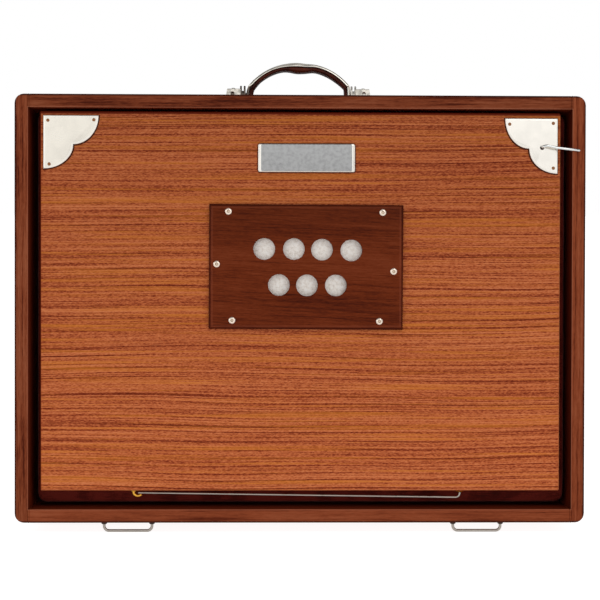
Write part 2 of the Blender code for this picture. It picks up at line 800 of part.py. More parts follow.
def make_springs():
    z = PUMP_BASE + PUMP_SPRING_SHARE * (PUMP_TOP - PUMP_BASE)
    ends = (PUMP_BACK + GAP, PARTITION_FRONT - GAP)
    coil("pump_spring", 0, z, PUMP_SPRING_RADIUS, PUMP_SPRING_TURNS, *ends)
    z = RESERVOIR_BASE + RESERVOIR_SPRING_SHARE * (RESERVOIR_TOP - RESERVOIR_BASE)
    ends = (PARTITION_BACK + GAP, RESERVOIR_INNER - GAP)
    for side, name in ((-1, "reservoir_spring_left"), (1, "reservoir_spring_right")):
        x = side * (RESERVOIR_HALF_WIDTH - RESERVOIR_SPRING_END)
        coil(name, x, z, RESERVOIR_SPRING_RADIUS, RESERVOIR_SPRING_TURNS, *ends)


def arch_rings(outer_inset, inner_inset, half_widths, bump=0.0, stations=26):
    """Cross-sections along the handle's arch, wide at its crown and narrow at its feet."""
    foot_z = CASE_TOP + ARCH_FOOT
    rise = HANDLE_RISE - ARCH_FOOT
    narrow, wide = half_widths
    rings = []
    for i in range(stations + 1):
        angle = math.pi * i / stations
        across = math.cos(angle)
        up = max(math.sin(angle), 0.0)
        half = narrow + (wide - narrow) * up**1.5
        swell = bump * math.exp(-((across / 0.16) ** 2))

        def place(inset):
            x = HANDLE_X - (ARCH_HALF_WIDTH - inset) * across
            return x, foot_z + (rise - inset) * up

        top_x, top_z = place(outer_inset)
        low_x, low_z = place(inner_inset + swell)
        bend = 0.3
        side_x = low_x + (top_x - low_x) * bend
        side_z = low_z + (top_z - low_z) * bend
        inward = half * (1 - bend / 2)
        rings.append(
            [
                (top_x, CASE_MIDDLE - half, top_z),
                (top_x, CASE_MIDDLE + half, top_z),
                (side_x, CASE_MIDDLE + half, side_z),
                (low_x, CASE_MIDDLE + inward, low_z),
                (low_x, CASE_MIDDLE - inward, low_z),
                (side_x, CASE_MIDDLE - half, side_z),
            ]
        )
    return rings


def make_handle():
    pivot = (HANDLE_X, CASE_MIDDLE, HANDLE_PIVOT_Z)
    rings = arch_rings(0, STRAP_THICKNESS, STRAP_HALF_WIDTHS)
    strap = skin("handle_strap", rings, "nickel", pivot)
    inner = STRAP_THICKNESS + GAP
    rings = arch_rings(inner, inner + GRIP_THICKNESS, GRIP_HALF_WIDTHS, GRIP_BUMP)
    grip = skin("handle_grip", rings, "grip_leather", pivot)
    smooth(strap)
    smooth(grip)
    near = ARCH_HALF_WIDTH + GAP
    for side, name in ((-1, "left"), (1, "right")):
        ends = [HANDLE_X + side * x for x in (near - 2 * GAP - STRAP_THICKNESS / 2, near + 0.0034)]
        place = (CASE_MIDDLE, HANDLE_PIVOT_Z)
        pin = cylinder_x(f"pivot_pin_{name}", *place, PIVOT_PIN, min(ends), max(ends))
        combine(strap, pin, "UNION")
        make_bracket(name, side, near)


def make_bracket(name, side, near):
    """A block screwed to the case with an ear that carries the handle's pin."""
    base = CASE_TOP + GAP
    ear_x = [HANDLE_X + side * x for x in (near, near + EAR_THICKNESS)]
    tall = CASE_TOP + EAR_RISE - EAR_HALF_WIDTH
    crown = arc(CASE_MIDDLE, tall, EAR_HALF_WIDTH, 0, 180, 8)
    shape = [(CASE_MIDDLE + EAR_HALF_WIDTH, base)] + crown + [(CASE_MIDDLE - EAR_HALF_WIDTH, base)]
    ear = skin(f"bracket_ear_{name}", [[(x, *point) for point in shape] for x in ear_x], None)
    block_x = [HANDLE_X + side * (near + EAR_THICKNESS + d) for d in (-0.001, BLOCK_LENGTH)]
    block = box(
        f"handle_bracket_{name}",
        (min(block_x), max(block_x)),
        (CASE_MIDDLE - BLOCK_HALF_WIDTH, CASE_MIDDLE + BLOCK_HALF_WIDTH),
        (base, CASE_TOP + BLOCK_RISE),
        "nickel",
    )
    soften(block, 0.0012)
    combine(block, ear, "UNION")
    reach = sorted(HANDLE_X + side * x for x in (near - 0.001, near + EAR_THICKNESS - 0.0002))
    radius = PIVOT_PIN + CLEARANCE
    cut(block, cylinder_x(f"bracket_bore_{name}", CASE_MIDDLE, HANDLE_PIVOT_Z, radius, *reach))


def main():
    clear_scene()
    make_case()
    make_feet()
    make_partition()
    make_pump()
    make_bellows()
    make_playing_side()
    make_springs()
    make_handle()


main()
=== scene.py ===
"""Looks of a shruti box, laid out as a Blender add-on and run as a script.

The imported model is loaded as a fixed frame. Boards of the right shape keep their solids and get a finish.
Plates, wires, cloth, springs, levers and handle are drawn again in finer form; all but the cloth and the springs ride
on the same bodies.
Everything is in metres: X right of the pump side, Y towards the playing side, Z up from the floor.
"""

import functools
import math

import bmesh
import bpy
from mathutils import Matrix, Vector, noise


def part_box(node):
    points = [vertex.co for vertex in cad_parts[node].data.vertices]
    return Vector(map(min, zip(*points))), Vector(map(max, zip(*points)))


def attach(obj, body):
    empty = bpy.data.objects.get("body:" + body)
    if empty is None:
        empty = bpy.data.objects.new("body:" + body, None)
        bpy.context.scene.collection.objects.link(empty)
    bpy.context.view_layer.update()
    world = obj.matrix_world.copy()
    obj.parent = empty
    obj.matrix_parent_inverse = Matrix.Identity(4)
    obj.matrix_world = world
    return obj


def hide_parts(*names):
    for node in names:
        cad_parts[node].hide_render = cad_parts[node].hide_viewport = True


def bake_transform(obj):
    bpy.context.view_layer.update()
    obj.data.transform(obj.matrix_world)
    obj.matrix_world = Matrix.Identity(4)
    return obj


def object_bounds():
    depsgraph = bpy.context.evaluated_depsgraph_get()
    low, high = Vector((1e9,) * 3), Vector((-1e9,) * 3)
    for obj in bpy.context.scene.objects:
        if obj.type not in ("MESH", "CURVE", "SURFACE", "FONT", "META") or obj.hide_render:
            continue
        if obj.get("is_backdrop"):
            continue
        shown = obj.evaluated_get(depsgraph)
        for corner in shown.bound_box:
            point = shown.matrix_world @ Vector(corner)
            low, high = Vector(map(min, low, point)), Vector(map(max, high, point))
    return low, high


bl_info = {
    "name": "Shruti Box",
    "version": (1, 0, 0),
    "blender": (4, 5, 0),
    "location": "3D View > Sidebar > Shruti Box",
    "description": "Dresses the packed shruti box with finer pieces, finishes, lights and a camera",
    "category": "Object",
}

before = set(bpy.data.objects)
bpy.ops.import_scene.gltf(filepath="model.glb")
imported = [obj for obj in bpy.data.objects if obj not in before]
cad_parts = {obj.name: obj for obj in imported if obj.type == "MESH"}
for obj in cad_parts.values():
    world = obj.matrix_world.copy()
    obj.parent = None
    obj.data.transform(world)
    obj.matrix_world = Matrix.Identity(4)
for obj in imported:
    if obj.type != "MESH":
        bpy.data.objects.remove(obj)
CAD_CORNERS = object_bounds()

# Planes and places taken from the solids
LEFT_LOW, LEFT_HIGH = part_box("case_left_side")
BASE_LOW, BASE_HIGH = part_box("case_bottom")
TOP_LOW, TOP_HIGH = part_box("case_top")
PUMP_LOW, PUMP_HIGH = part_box("pump_board")
RESERVOIR_LOW, RESERVOIR_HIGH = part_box("reservoir_board")
REED_LOW, REED_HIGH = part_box("reed_board")
VALVE_LOW, VALVE_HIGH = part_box("inlet_valve_plate")
NOTES = sorted(node[-2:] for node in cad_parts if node.startswith("tone_lever"))
FEET = ("front_left", "front_right", "back_right", "back_left")
FRONT, BACK = LEFT_LOW.y, LEFT_HIGH.y
MIDDLE = (FRONT + BACK) / 2
WALL = LEFT_HIGH.x - LEFT_LOW.x
CASE_BASE, CASE_TOP = BASE_LOW.z, TOP_HIGH.z
HALF_WIDTH, HALF_HEIGHT = -LEFT_LOW.x, (CASE_TOP - CASE_BASE) / 2
GAP = 0.0003  # what the solids keep between each other
X, Y, Z = 0, 1, 2

# Places measured in the photograph, in metres. The corner plates are a left edge or a right edge, a
# top, a width, a height, and where the two lobes meet.
CORNERS = {
    "left": (-0.1804, 0.2928, 0.0386, 0.0373, (0.0209, 0.0203)),
    "right": (0.1808, 0.2919, 0.0371, 0.0388, (0.0201, 0.0212)),
}
NAILS = {
    "left": ((-0.1772, 0.2892), (-0.1451, 0.2896), (-0.1763, 0.2586)),
    "right": ((0.1468, 0.2878), (0.1776, 0.2885), (0.1777, 0.2570)),
}
LATCH_PIVOT = (0.1698, 0.2713)
LATCH_LINE = ((0.1698, 0.2717), (0.1726, 0.2724), (0.1794, 0.2709), (0.1956, 0.2691))  # of its wire, from the pivot
# The valve plate's middle, size and tilt, its screws and its holes, from the middle of its solid
VALVE_MIDDLE = (-0.00065, 0.00064)
VALVE_SIZE = (0.1365, 0.0877)
VALVE_TILT = math.radians(0.28)
VALVE_SCREWS = (
    (-0.0552, 0.0394),
    (0.0530, 0.0389),
    (-0.0634, 0.0025),
    (0.0607, -0.0024),
    (-0.0526, -0.0369),
    (0.0508, -0.0374),
)
VALVE_HOLES = (
    (-0.0301, 0.0132),
    (-0.0093, 0.0132),
    (0.0104, 0.0128),
    (0.0310, 0.0123),
    (-0.0198, -0.0121),
    (-0.0001, -0.0123),
    (0.0202, -0.0123),
)
STAY_REACH = 0.113
PIVOT_RISE = 0.0054  # of the handle's pins over the case


def linear(code):
    """The red, green, blue and alpha that Blender uses for an sRGB hex colour."""
    parts = [int(code[i : i + 2], 16) / 255 for i in (1, 3, 5)]
    return [*(p / 12.92 if p <= 0.04045 else ((p + 0.055) / 1.055) ** 2.4 for p in parts), 1.0]


def colour(label, code, description):
    return bpy.props.FloatVectorProperty(
        name=label, description=description, default=linear(code)[:3], subtype="COLOR", min=0, max=1
    )


def length(label, value, description):
    return bpy.props.FloatProperty(
        name=label, description=description, default=value, min=0, unit="LENGTH", precision=5
    )


class ShrutiColours(bpy.types.PropertyGroup):
    """Main tones of the box's finishes."""

    rosewood_dark: colour("Rosewood, dark", "#581F0C", "Dark growth lines of the case's boards")
    rosewood: colour("Rosewood", "#853F23", "Body of the case's boards")
    # The lighter inner front edges of the case are a painted highlight in a paler brown.
    rosewood_light: colour("Rosewood, light", "#9C5638", "Light bands and worn edges of the case")
    # Stain, and also the painted shade along the case's outer front edges and at the front of its right inner wall.
    stain_and_shade: colour("Stain", "#2A0A04", "Dark stain along the outer edges and behind the partition")
    # Stained wood, lighter than the walls' mouth colour, so that it paints light deeper in the case.
    inner_wall: colour("Inner wall", "#6C240E", "Stained wood on the inside of the case")
    zinc: colour("Zinc", "#B5ADA4", "Zinc plating of the feet and the stay")
    teak_dark: colour("Teak, dark", "#85351C", "Dark lines of the veneer")
    teak: colour("Teak", "#B96036", "Body of the veneer")
    teak_light: colour("Teak, light", "#D17B4D", "Light fibres of the veneer")
    teak_gold: colour("Teak, gold", "#CE792A", "Golden patches of the veneer")
    # Darkest lines of the veneer, and the painted shadow in strips at the left and top of the veneered boards.
    teak_darkest_and_shade: colour("Edging", "#5E1C0A", "Strip of solid wood round the veneered boards")
    plate_dark: colour("Valve plate, dark", "#481708", "Dark lines of the valve plate")
    plate: colour("Valve plate", "#66280F", "Body of the valve plate")
    plate_light: colour("Valve plate, light", "#78371E", "Light fibres of the valve plate")
    plywood: colour("Plywood", "#C49A68", "Faces of the inner boards")
    cloth: colour("Bellows cloth", "#4E1009", "Book cloth of the two bellows")
    # A lighter cloth along the outer edges of the folds.
    cloth_fold_edge: colour("Bellows cloth, worn", "#7A3424", "Cloth along the edges of the folds")
    suede: colour("Suede", "#F2EBE3", "White leather of the valves and pads")
    hide: colour("Hide", "#4A1C10", "Leather over the handle's grip")
    thread: colour("Thread", "#54261A", "Waxed thread along the grip")
    nickel: colour("Nickel", "#F6F1E8", "Nickel plating")
    aluminium: colour("Aluminium", "#ACACAC", "Brushed name plate")
    steel: colour("Steel", "#C9C4BC", "Drawn steel wire and screws")
    brass: colour("Brass", "#ECB048", "Brass hook, bush and reeds")
    # Painted shade: the darker steel of the left cheeks, the strap's left foot and the recesses of steel screws.
    shaded_steel: colour("Steel, dark", "#6E645C", "Stamped cheeks of the handle's brackets")
    screw_head: colour("Screw head", "#F7E7D6", "Thin nickel of the valve plate's screws")
    # Painted shade: a darker nickel in the recess of the screws.
    screw_recess: colour("Screw recess", "#D6C3AE", "Thin nickel in the recess of the screws")
    # On the left corner plate, this darker nickel is painted shade.
    rubbed_and_shaded_nickel: colour("Rubbed nickel", "#EDE7DB", "Nickel of the left corner plate and the handle")
    bright_steel: colour("Bright steel", "#E8EAE8", "Nickel-plated wire of the latch")
    nail_brass: colour("Nail brass", "#96694A", "Tarnished brass nails")
    rubber: colour("Rubber", "#2A120A", "Bushes of the feet")


class ShrutiSizes(bpy.types.PropertyGroup):
    """Sizes of the details that the solids don't hold."""

    board_edge: length("Board edge", 0.0002, "Rounding along the edges of the boards")
    plate_edge: length("Plate edge", 0.00025, "Rounding along the edges of the metal parts")
    corner_rim: length("Corner rim", 0.0013, "Rolled rim of the corner plates")
    nail: length("Nail", 0.0012, "Radius of the brass nails")
    screw: length("Screw", 0.0025, "Radius of the valve plate's screw heads")
    foot_bend: length("Foot bend", 0.0034, "Bend radius of the wire feet")
    bush: length("Bush", 0.0022, "Widest radius of the feet's bushes")
    stitch: length("Stitch", 0.0030, "Length of a stitch along the grip")
    fold_wave: length("Fold wave", 0.0003, "How far the cloth of the bellows is creased out of true")


class ShrutiStage(bpy.types.PropertyGroup):
    """Camera and light."""

    place: bpy.props.FloatVectorProperty(
        name="Camera", description="Place of the camera", default=(-0.0188, FRONT - 1.0, 0.1766),
        subtype="TRANSLATION", unit="LENGTH",
    )
    aim: bpy.props.FloatVectorProperty(
        name="Aim", description="Turn to the right, tilt up and roll to the left of the camera",
        default=[math.radians(turn) for turn in (1.045, -0.732, 0.135)], subtype="EULER",
    )
    lens: bpy.props.FloatProperty(
        name="Lens", description="Focal length of the camera", default=85.67, min=10, unit="CAMERA"
    )
    sky: bpy.props.FloatProperty(
        name="Sky", description="Strength of the soft light from all round", default=0.95, min=0
    )
    key: bpy.props.FloatProperty(
        name="Key", description="Power of the large light at the upper right", default=6.0, min=0,
        subtype="POWER",
    )


def add(tree, kind, inputs=None, stops=None, out=0, **settings):
    """Adds a node with its settings, input values or links and ramp stops, and gives its output."""
    node = tree.nodes.new("ShaderNode" + kind)
    for name, value in settings.items():
        setattr(node, name, value)
    for name, value in (inputs or {}).items():
        if isinstance(value, bpy.types.NodeSocket):
            tree.links.new(value, node.inputs[name])
        else:
            node.inputs[name].default_value = value
    if stops:
        elements = node.color_ramp.elements
        while len(elements) < len(stops):
            elements.new(1.0)
        for element, (place, shade) in zip(elements, stops):
            element.position = place
            element.color = shade
    return node.outputs[out] if node.outputs else None


def tone(name):
    """One of the colours that the user can change, with its alpha."""
    return (*getattr(bpy.context.scene.shruti_colours, name), 1.0)


def grey(value):
    return (value, value, value, 1.0)


def start_finish(name):
    made = bpy.data.materials.new(name)
    made.use_nodes = True
    made.node_tree.nodes.clear()
    return made, made.node_tree


def end_finish(tree, inputs):
    """The shader and the output of a finish."""
    shader = add(tree, "BsdfPrincipled", inputs)
    add(tree, "OutputMaterial", {"Surface": shader})


def grain(tree, base, axis, long_mm, wide_mm, seed=0.0, detail=2.0):
    """Noise drawn out along one axis, as long and as wide as given."""
    scale = [1000 / wide_mm] * 3
    scale[axis] = 1000 / long_mm
    place = add(tree, "Mapping", {"Vector": base, "Location": (seed, seed, seed), "Scale": scale})
    return add(tree, "TexNoise", {"Vector": place, "Scale": 1.0, "Detail": detail})


def relief(tree, height, depth_mm):
    return add(tree, "Bump", {"Strength": 1.0, "Distance": depth_mm / 1000, "Height": height})


def within(tree, value, start, end):
    """0 where the value is before start and 1 where it is past end."""
    return add(tree, "MapRange", {"Value": value, "From Min": start, "From Max": end})


def math_node(tree, operation, *values):
    return add(tree, "Math", dict(enumerate(values)), operation=operation)


def timber(tree, base, axis, shades, rings, lengths, weights, depth, seed, widths=(12, 1.2, 0.7, 0.5)):
    """Colour value and fibres of sawn wood.

    Growth lines are cut from rings about a pith: its place, the rings' spacing in mm and how far they
    sway. They come and go along the board. Patches, streaks, fibres and pores, each with its length in
    mm and its weight, lie over them.
    """
    pith, ring_mm, sway = rings
    outward = [1.0] * 3
    outward[axis] = 0.03
    shift = [-part for part in pith]
    around = add(tree, "Mapping", {"Vector": base, "Location": shift, "Scale": outward})
    radius = add(tree, "VectorMath", {0: around}, out=1, operation="LENGTH")
    radius = math_node(tree, "MULTIPLY", radius, 1000 / ring_mm)
    wander = grain(tree, base, axis, 2.5 * lengths[0], 16, seed, 2)
    turns = math_node(tree, "MULTIPLY_ADD", wander, sway, radius)
    late = add(
        tree,
        "ValToRGB",
        {"Fac": math_node(tree, "FRACT", turns)},
        [(0.0, grey(1)), (0.05, grey(0.15)), (0.2, grey(0)), (0.8, grey(0.1)), (0.95, grey(0.8))],
    )
    presence = within(tree, grain(tree, base, axis, 260, 4, seed + 5, 2), 0.36, 0.62)
    lines = math_node(tree, "MULTIPLY", late, presence)
    patches, streaks, fibres, pores = (
        grain(tree, base, axis, long, wide, seed + 3 + 4 * i, detail)
        for i, (long, wide, detail) in enumerate(zip(lengths, widths, (2, 3, 2, 1)))
    )
    value = 0.5 - sum(weights) / 2
    for pattern, weight in zip((patches, streaks, fibres, pores), weights):
        value = math_node(tree, "MULTIPLY_ADD", pattern, weight, value)
    value = math_node(tree, "MULTIPLY_ADD", lines, -depth, value)
    stops = [(0.0, shades[0]), (0.28, shades[1]), (0.5, shades[2]), (0.78, shades[3])]
    return add(tree, "ValToRGB", {"Fac": value}, stops), fibres


def blend_colour(tree, factor, first, second):
    return add(tree, "Mix", {0: factor, 6: first, 7: second}, out=2, data_type="RGBA")


def rim_depth(tree, base, centre, half_width, half_height):
    """How far a point is inside the edge of a rectangle across Y: 0 on the edge."""
    depths = []
    for axis, middle, half in ((X, centre[0], half_width), (Z, centre[1], half_height)):
        reach = math_node(tree, "SUBTRACT", add(tree, "SeparateXYZ", {"Vector": base}, out=axis), middle)
        depths.append(math_node(tree, "SUBTRACT", half, math_node(tree, "ABSOLUTE", reach)))
    return math_node(tree, "MINIMUM", *depths)


def frame_depth(tree, base):
    """How far a point is inside the case's outer faces: 0 on them, and the wall on the inner ones."""
    return rim_depth(tree, base, (0, (CASE_BASE + CASE_TOP) / 2), HALF_WIDTH, HALF_HEIGHT)


@functools.cache
def oiled_rosewood(axis, seed, pith, fade=0.012, darker=0.0, contrast=1.0, mouth="rosewood_dark"):
    """Rosewood, planed and oiled: fine dark lines, a satin face and stained inner walls.

    The outer front edges are darkened with painted shade. The inner front edges get a painted highlight, and the
    inner walls get painted light deeper in.
    """
    made, tree = start_finish(f"rosewood_oiled_{'xyz'[axis]}_{seed}")
    base = add(tree, "TexCoord", out=3)
    shades = [tone("stain_and_shade"), tone("rosewood_dark"), tone("rosewood"), tone("rosewood_light")]
    weights = [contrast * weight for weight in (0.9, 0.7, 0.55, 0.3)]
    rings = (pith, 3.4, 2.4)
    wood, fibres = timber(tree, base, axis, shades, rings, (70, 45, 10, 3), weights, 0.28 * contrast, seed)
    if darker:
        wood = blend_colour(tree, darker, wood, tone("stain_and_shade"))
    inside = frame_depth(tree, base)
    deep = add(tree, "SeparateXYZ", {"Vector": base}, out=Y)
    face = within(tree, deep, FRONT + 0.0012, FRONT + 0.0004)
    # Painted highlight: the inner front edges of the case are lightened towards a pale brown.
    wear_and_highlight = math_node(tree, "MULTIPLY", face, within(tree, inside, WALL - 0.0008, WALL - 0.0005))
    wood = blend_colour(tree, math_node(tree, "MULTIPLY", wear_and_highlight, 0.45), wood, linear("#A8694F"))
    # Painted shade: the rounded outer front edges are darkened with the stain colour.
    painted_edge_shade = math_node(tree, "MULTIPLY", face, within(tree, inside, 0.0016, 0.0008))
    wood = blend_colour(tree, math_node(tree, "MULTIPLY", painted_edge_shade, 0.9), wood, tone("stain_and_shade"))
    stained = within(tree, inside, WALL - 0.0002, WALL - 0.00005)
    # Painted light: the stained inner walls go from their mouth colour at the front to the lighter inner wall colour
    # deeper in.
    depth = within(tree, deep, FRONT - 0.004, FRONT + fade)
    wall = blend_colour(tree, depth, tone(mouth), tone("inner_wall"))
    wood = blend_colour(tree, stained, wood, wall)
    pores = add(
        tree,
        "ValToRGB",
        {"Fac": grain(tree, base, axis, 5, 0.3, seed + 17, 1)},
        [(0.6, grey(1)), (0.7, grey(0.6))],
    )
    shade = add(tree, "Mix", {0: 0.4, 6: wood, 7: pores}, out=2, data_type="RGBA", blend_type="MULTIPLY")
    end_finish(
        tree,
        {
            "Base Color": shade,
            "Roughness": add(tree, "MapRange", {"Value": fibres, "To Min": 0.4, "To Max": 0.55}),
            "Specular IOR Level": 0.05,
            "Normal": relief(tree, fibres, 0.03),
        },
    )
    return made


@functools.cache
def teak_veneer(node, back, left_shade_strip, top_shade_strip):
    """Teak, sliced as veneer and varnished thin: straight fine lines, a painted highlight along its edges, painted
    shadow in strips at its left and top, and painted shade darker towards the top.
    """
    made, tree = start_finish(f"teak_sliced_veneer_{node}")
    low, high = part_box(node)
    base = add(tree, "TexCoord", out=3)
    place_x, place_y, place_z = (add(tree, "SeparateXYZ", {"Vector": base}, out=i) for i in range(3))
    shades = [tone("teak_darkest_and_shade"), tone("teak_dark"), tone("teak"), tone("teak_light")]
    sway = math_node(tree, "MULTIPLY_ADD", grain(tree, base, X, 260, 90, 83, 1), 0.013, -0.0065)
    lean = add(tree, "VectorMath", {0: base, 1: add(tree, "CombineXYZ", {"Z": sway})}, operation="ADD")
    rings = ((0, 0, -1.2), 5.4, 1.3)
    weights, widths = (0.25, 1.1, 0.8, 0.85), (12, 0.8, 0.6, 0.5)
    face, fibres = timber(tree, lean, X, shades, rings, (900, 650, 100, 1.8), weights, 0.36, 5, widths)
    gold = within(tree, grain(tree, base, X, 110, 1.5, 71, 3), 0.5, 0.7)
    gold = math_node(tree, "MULTIPLY", gold, 0.6)
    face = add(tree, "Mix", {0: gold, 6: face, 7: tone("teak_gold")}, out=2, data_type="RGBA")
    rise = within(tree, place_z, low.z, high.z)
    shading = add(tree, "ValToRGB", {"Fac": rise}, [(0.1, grey(1.0)), (1.0, grey(0.76))])
    face = add(tree, "Mix", {0: 1.0, 6: face, 7: shading}, out=2, data_type="RGBA", blend_type="MULTIPLY")
    middle = ((low.x + high.x) / 2, (low.z + high.z) / 2)
    inside = rim_depth(tree, base, middle, (high.x - low.x) / 2, (high.z - low.z) / 2)
    # Painted highlight along the rounded edges of the board.
    arris_highlight = math_node(tree, "MULTIPLY", within(tree, inside, 0.0009, 0.0004), 0.35)
    face = blend_colour(tree, arris_highlight, face, tone("teak_light"))
    # Painted shadow: strips at the left and top of the board, where the case's wall and top shade it, in the darkest
    # teak colour.
    left = within(tree, place_x, low.x + left_shade_strip, low.x + left_shade_strip - 0.0003)
    top = within(tree, place_z, high.z - top_shade_strip, high.z - top_shade_strip + 0.0006)
    shaded_at_edges = blend_colour(tree, math_node(tree, "MAXIMUM", left, top), face, tone("teak_darkest_and_shade"))
    hidden = within(tree, place_y, back, back + math.copysign(0.0001, back - low.y - 0.003))
    wood = blend_colour(tree, hidden, shaded_at_edges, tone("plywood"))
    end_finish(
        tree,
        {
            "Base Color": wood,
            "Roughness": add(tree, "MapRange", {"Value": fibres, "To Min": 0.42, "To Max": 0.55}),
            "Specular IOR Level": 0.05,
            "Normal": relief(tree, fibres, 0.02),
        },
    )
    return made


@functools.cache
def dark_rosewood():
    """Dark rosewood, sanded and polished: close, slightly slanting fibres with light short flecks."""
    made, tree = start_finish("rosewood_dark_polished")
    base = add(tree, "TexCoord", out=3)
    slanted = add(tree, "Mapping", {"Vector": base, "Rotation": (0, math.radians(-3), 0)})
    shades = [linear("#1A0502"), tone("plate_dark"), tone("plate"), tone("plate_light")]
    rings = ((0, 0.03, 0.45), 5.0, 3.4)
    weights = (0.55, 0.4, 0.5, 0.3)
    wood, fibres = timber(tree, slanted, X, shades, rings, (90, 60, 12, 3), weights, 0.15, 23)
    middle = (VALVE_LOW + VALVE_HIGH) / 2
    centre = (middle.x + VALVE_MIDDLE[0], middle.z + VALVE_MIDDLE[1])
    inside = rim_depth(tree, base, centre, VALVE_SIZE[0] / 2, VALVE_SIZE[1] / 2)
    # Painted highlight where the bevel meets the face.
    arris_highlight = math_node(tree, "MULTIPLY", within(tree, inside, 0.0031, 0.0024), within(tree, inside, 0.0013, 0.0020))
    wood = blend_colour(tree, math_node(tree, "MULTIPLY", arris_highlight, 0.28), wood, linear("#8A4630"))
    # Painted shade along the outer edge of the bevel.
    edge = math_node(tree, "MULTIPLY", within(tree, inside, 0.0016, 0.0010), 0.75)
    wood = blend_colour(tree, edge, wood, linear("#3A0D04"))
    rise = within(tree, add(tree, "SeparateXYZ", {"Vector": base}, out=Z), VALVE_LOW.z, VALVE_HIGH.z)
    shading = add(tree, "ValToRGB", {"Fac": rise}, [(0.6, grey(1.0)), (0.95, grey(0.8))])
    wood = add(tree, "Mix", {0: 1.0, 6: wood, 7: shading}, out=2, data_type="RGBA", blend_type="MULTIPLY")
    end_finish(
        tree,
        {
            "Base Color": wood,
            "Roughness": add(tree, "MapRange", {"Value": fibres, "To Min": 0.35, "To Max": 0.5}),
            "Specular IOR Level": 0.04,
            "Normal": relief(tree, fibres, 0.04),
        },
    )
    return made


@functools.cache
def shadow_paint():
    """Painted shadow: a dark dull line that shows from under the plates."""
    made, tree = start_finish("dark_line_painted_shadow")
    base = add(tree, "TexCoord", out=3)
    crumbs = add(tree, "TexNoise", {"Vector": base, "Scale": 900.0, "Detail": 3.0})
    stops = [(0.35, linear("#2A120A")), (0.7, linear("#552A18"))]
    end_finish(
        tree,
        {
            "Base Color": add(tree, "ValToRGB", {"Fac": crumbs}, stops),
            "Roughness": 0.8,
            "Specular IOR Level": 0.1,
            "Normal": relief(tree, crumbs, 0.02),
        },
    )
    return made


@functools.cache
def plywood():
    """Birch plywood, sanded and stained on its pump side: plies show on the edges."""
    made, tree = start_finish("birch_plywood_sanded")
    base = add(tree, "TexCoord", out=3)
    deep = add(tree, "SeparateXYZ", {"Vector": base}, out=Y)
    ply = math_node(tree, "FRACT", math_node(tree, "MULTIPLY", deep, 1 / 0.0012))
    streaks = grain(tree, base, X, 60, 1.5, 31, 3)
    face = add(
        tree,
        "ValToRGB",
        {"Fac": streaks},
        [(0.3, linear("#A87C4C")), (0.5, tone("plywood")), (0.75, linear("#DDBB8C"))],
    )
    glue = add(tree, "ValToRGB", {"Fac": ply}, [(0.0, grey(0.35)), (0.12, grey(1)), (0.9, grey(0.9))])
    shade = add(tree, "Mix", {0: 1.0, 6: face, 7: glue}, out=2, data_type="RGBA", blend_type="MULTIPLY")
    reach = within(tree, frame_depth(tree, base), WALL + 0.013, WALL + 0.011)
    pump_side = within(tree, deep, -0.0060, -0.0065)
    shade = blend_colour(tree, math_node(tree, "MAXIMUM", reach, pump_side), shade, tone("stain_and_shade"))
    end_finish(
        tree,
        {
            "Base Color": shade,
            "Roughness": 0.62,
            "Specular IOR Level": 0.1,
            "Normal": relief(tree, streaks, 0.05),
        },
    )
    return made


@functools.cache
def book_cloth(centre, half_width, half_height):
    """Cotton book cloth, woven and sized: a dull maroon weave, lighter along the outer edges of its folds.

    The real threads are about 0.25 mm apart. They are drawn at 0.7 mm, so that they show.
    """
    made, tree = start_finish("cotton_book_cloth_woven")
    base = add(tree, "TexCoord", out=3)
    warp = grain(tree, base, Y, 5, 0.7, 41, 1)
    weft = grain(tree, base, X, 9, 0.7, 43, 1)
    weave = math_node(tree, "ADD", warp, weft)
    wear = add(tree, "TexNoise", {"Vector": base, "Scale": 60.0, "Detail": 3.0})
    value = math_node(tree, "MULTIPLY_ADD", weave, 0.5, wear)
    shade = add(
        tree,
        "ValToRGB",
        {"Fac": value},
        [(0.6, linear("#2A0603")), (1.0, tone("cloth")), (1.35, linear("#5E1A12"))],
    )
    inside = rim_depth(tree, base, centre, half_width, half_height)
    fold = within(tree, inside, 0.0011, 0.0003)
    fold = math_node(tree, "MULTIPLY", fold, 0.7)
    shade = blend_colour(tree, fold, shade, tone("cloth_fold_edge"))
    end_finish(
        tree,
        {
            "Base Color": shade,
            "Roughness": 0.85,
            "Specular IOR Level": 0.1,
            "Sheen Weight": 0.03,
            "Normal": relief(tree, weave, 0.12),
        },
    )
    return made


@functools.cache
def suede():
    """White split leather, brushed: a soft nap without shine."""
    made, tree = start_finish("white_leather_brushed")
    base = add(tree, "TexCoord", out=3)
    nap = add(tree, "TexNoise", {"Vector": base, "Scale": 1600.0, "Detail": 4.0})
    clumps = add(tree, "TexNoise", {"Vector": base, "Scale": 420.0, "Detail": 3.0})
    value = math_node(tree, "MULTIPLY_ADD", nap, 0.6, clumps)
    shade = add(
        tree,
        "ValToRGB",
        {"Fac": value},
        [(0.55, linear("#D8CFC5")), (0.8, tone("suede")), (1.0, linear("#F8F5F0"))],
    )
    end_finish(
        tree,
        {
            "Base Color": shade,
            "Roughness": 0.95,
            "Specular IOR Level": 0.1,
            "Sheen Weight": 0.1,
            "Normal": relief(tree, value, 0.25),
        },
    )
    return made


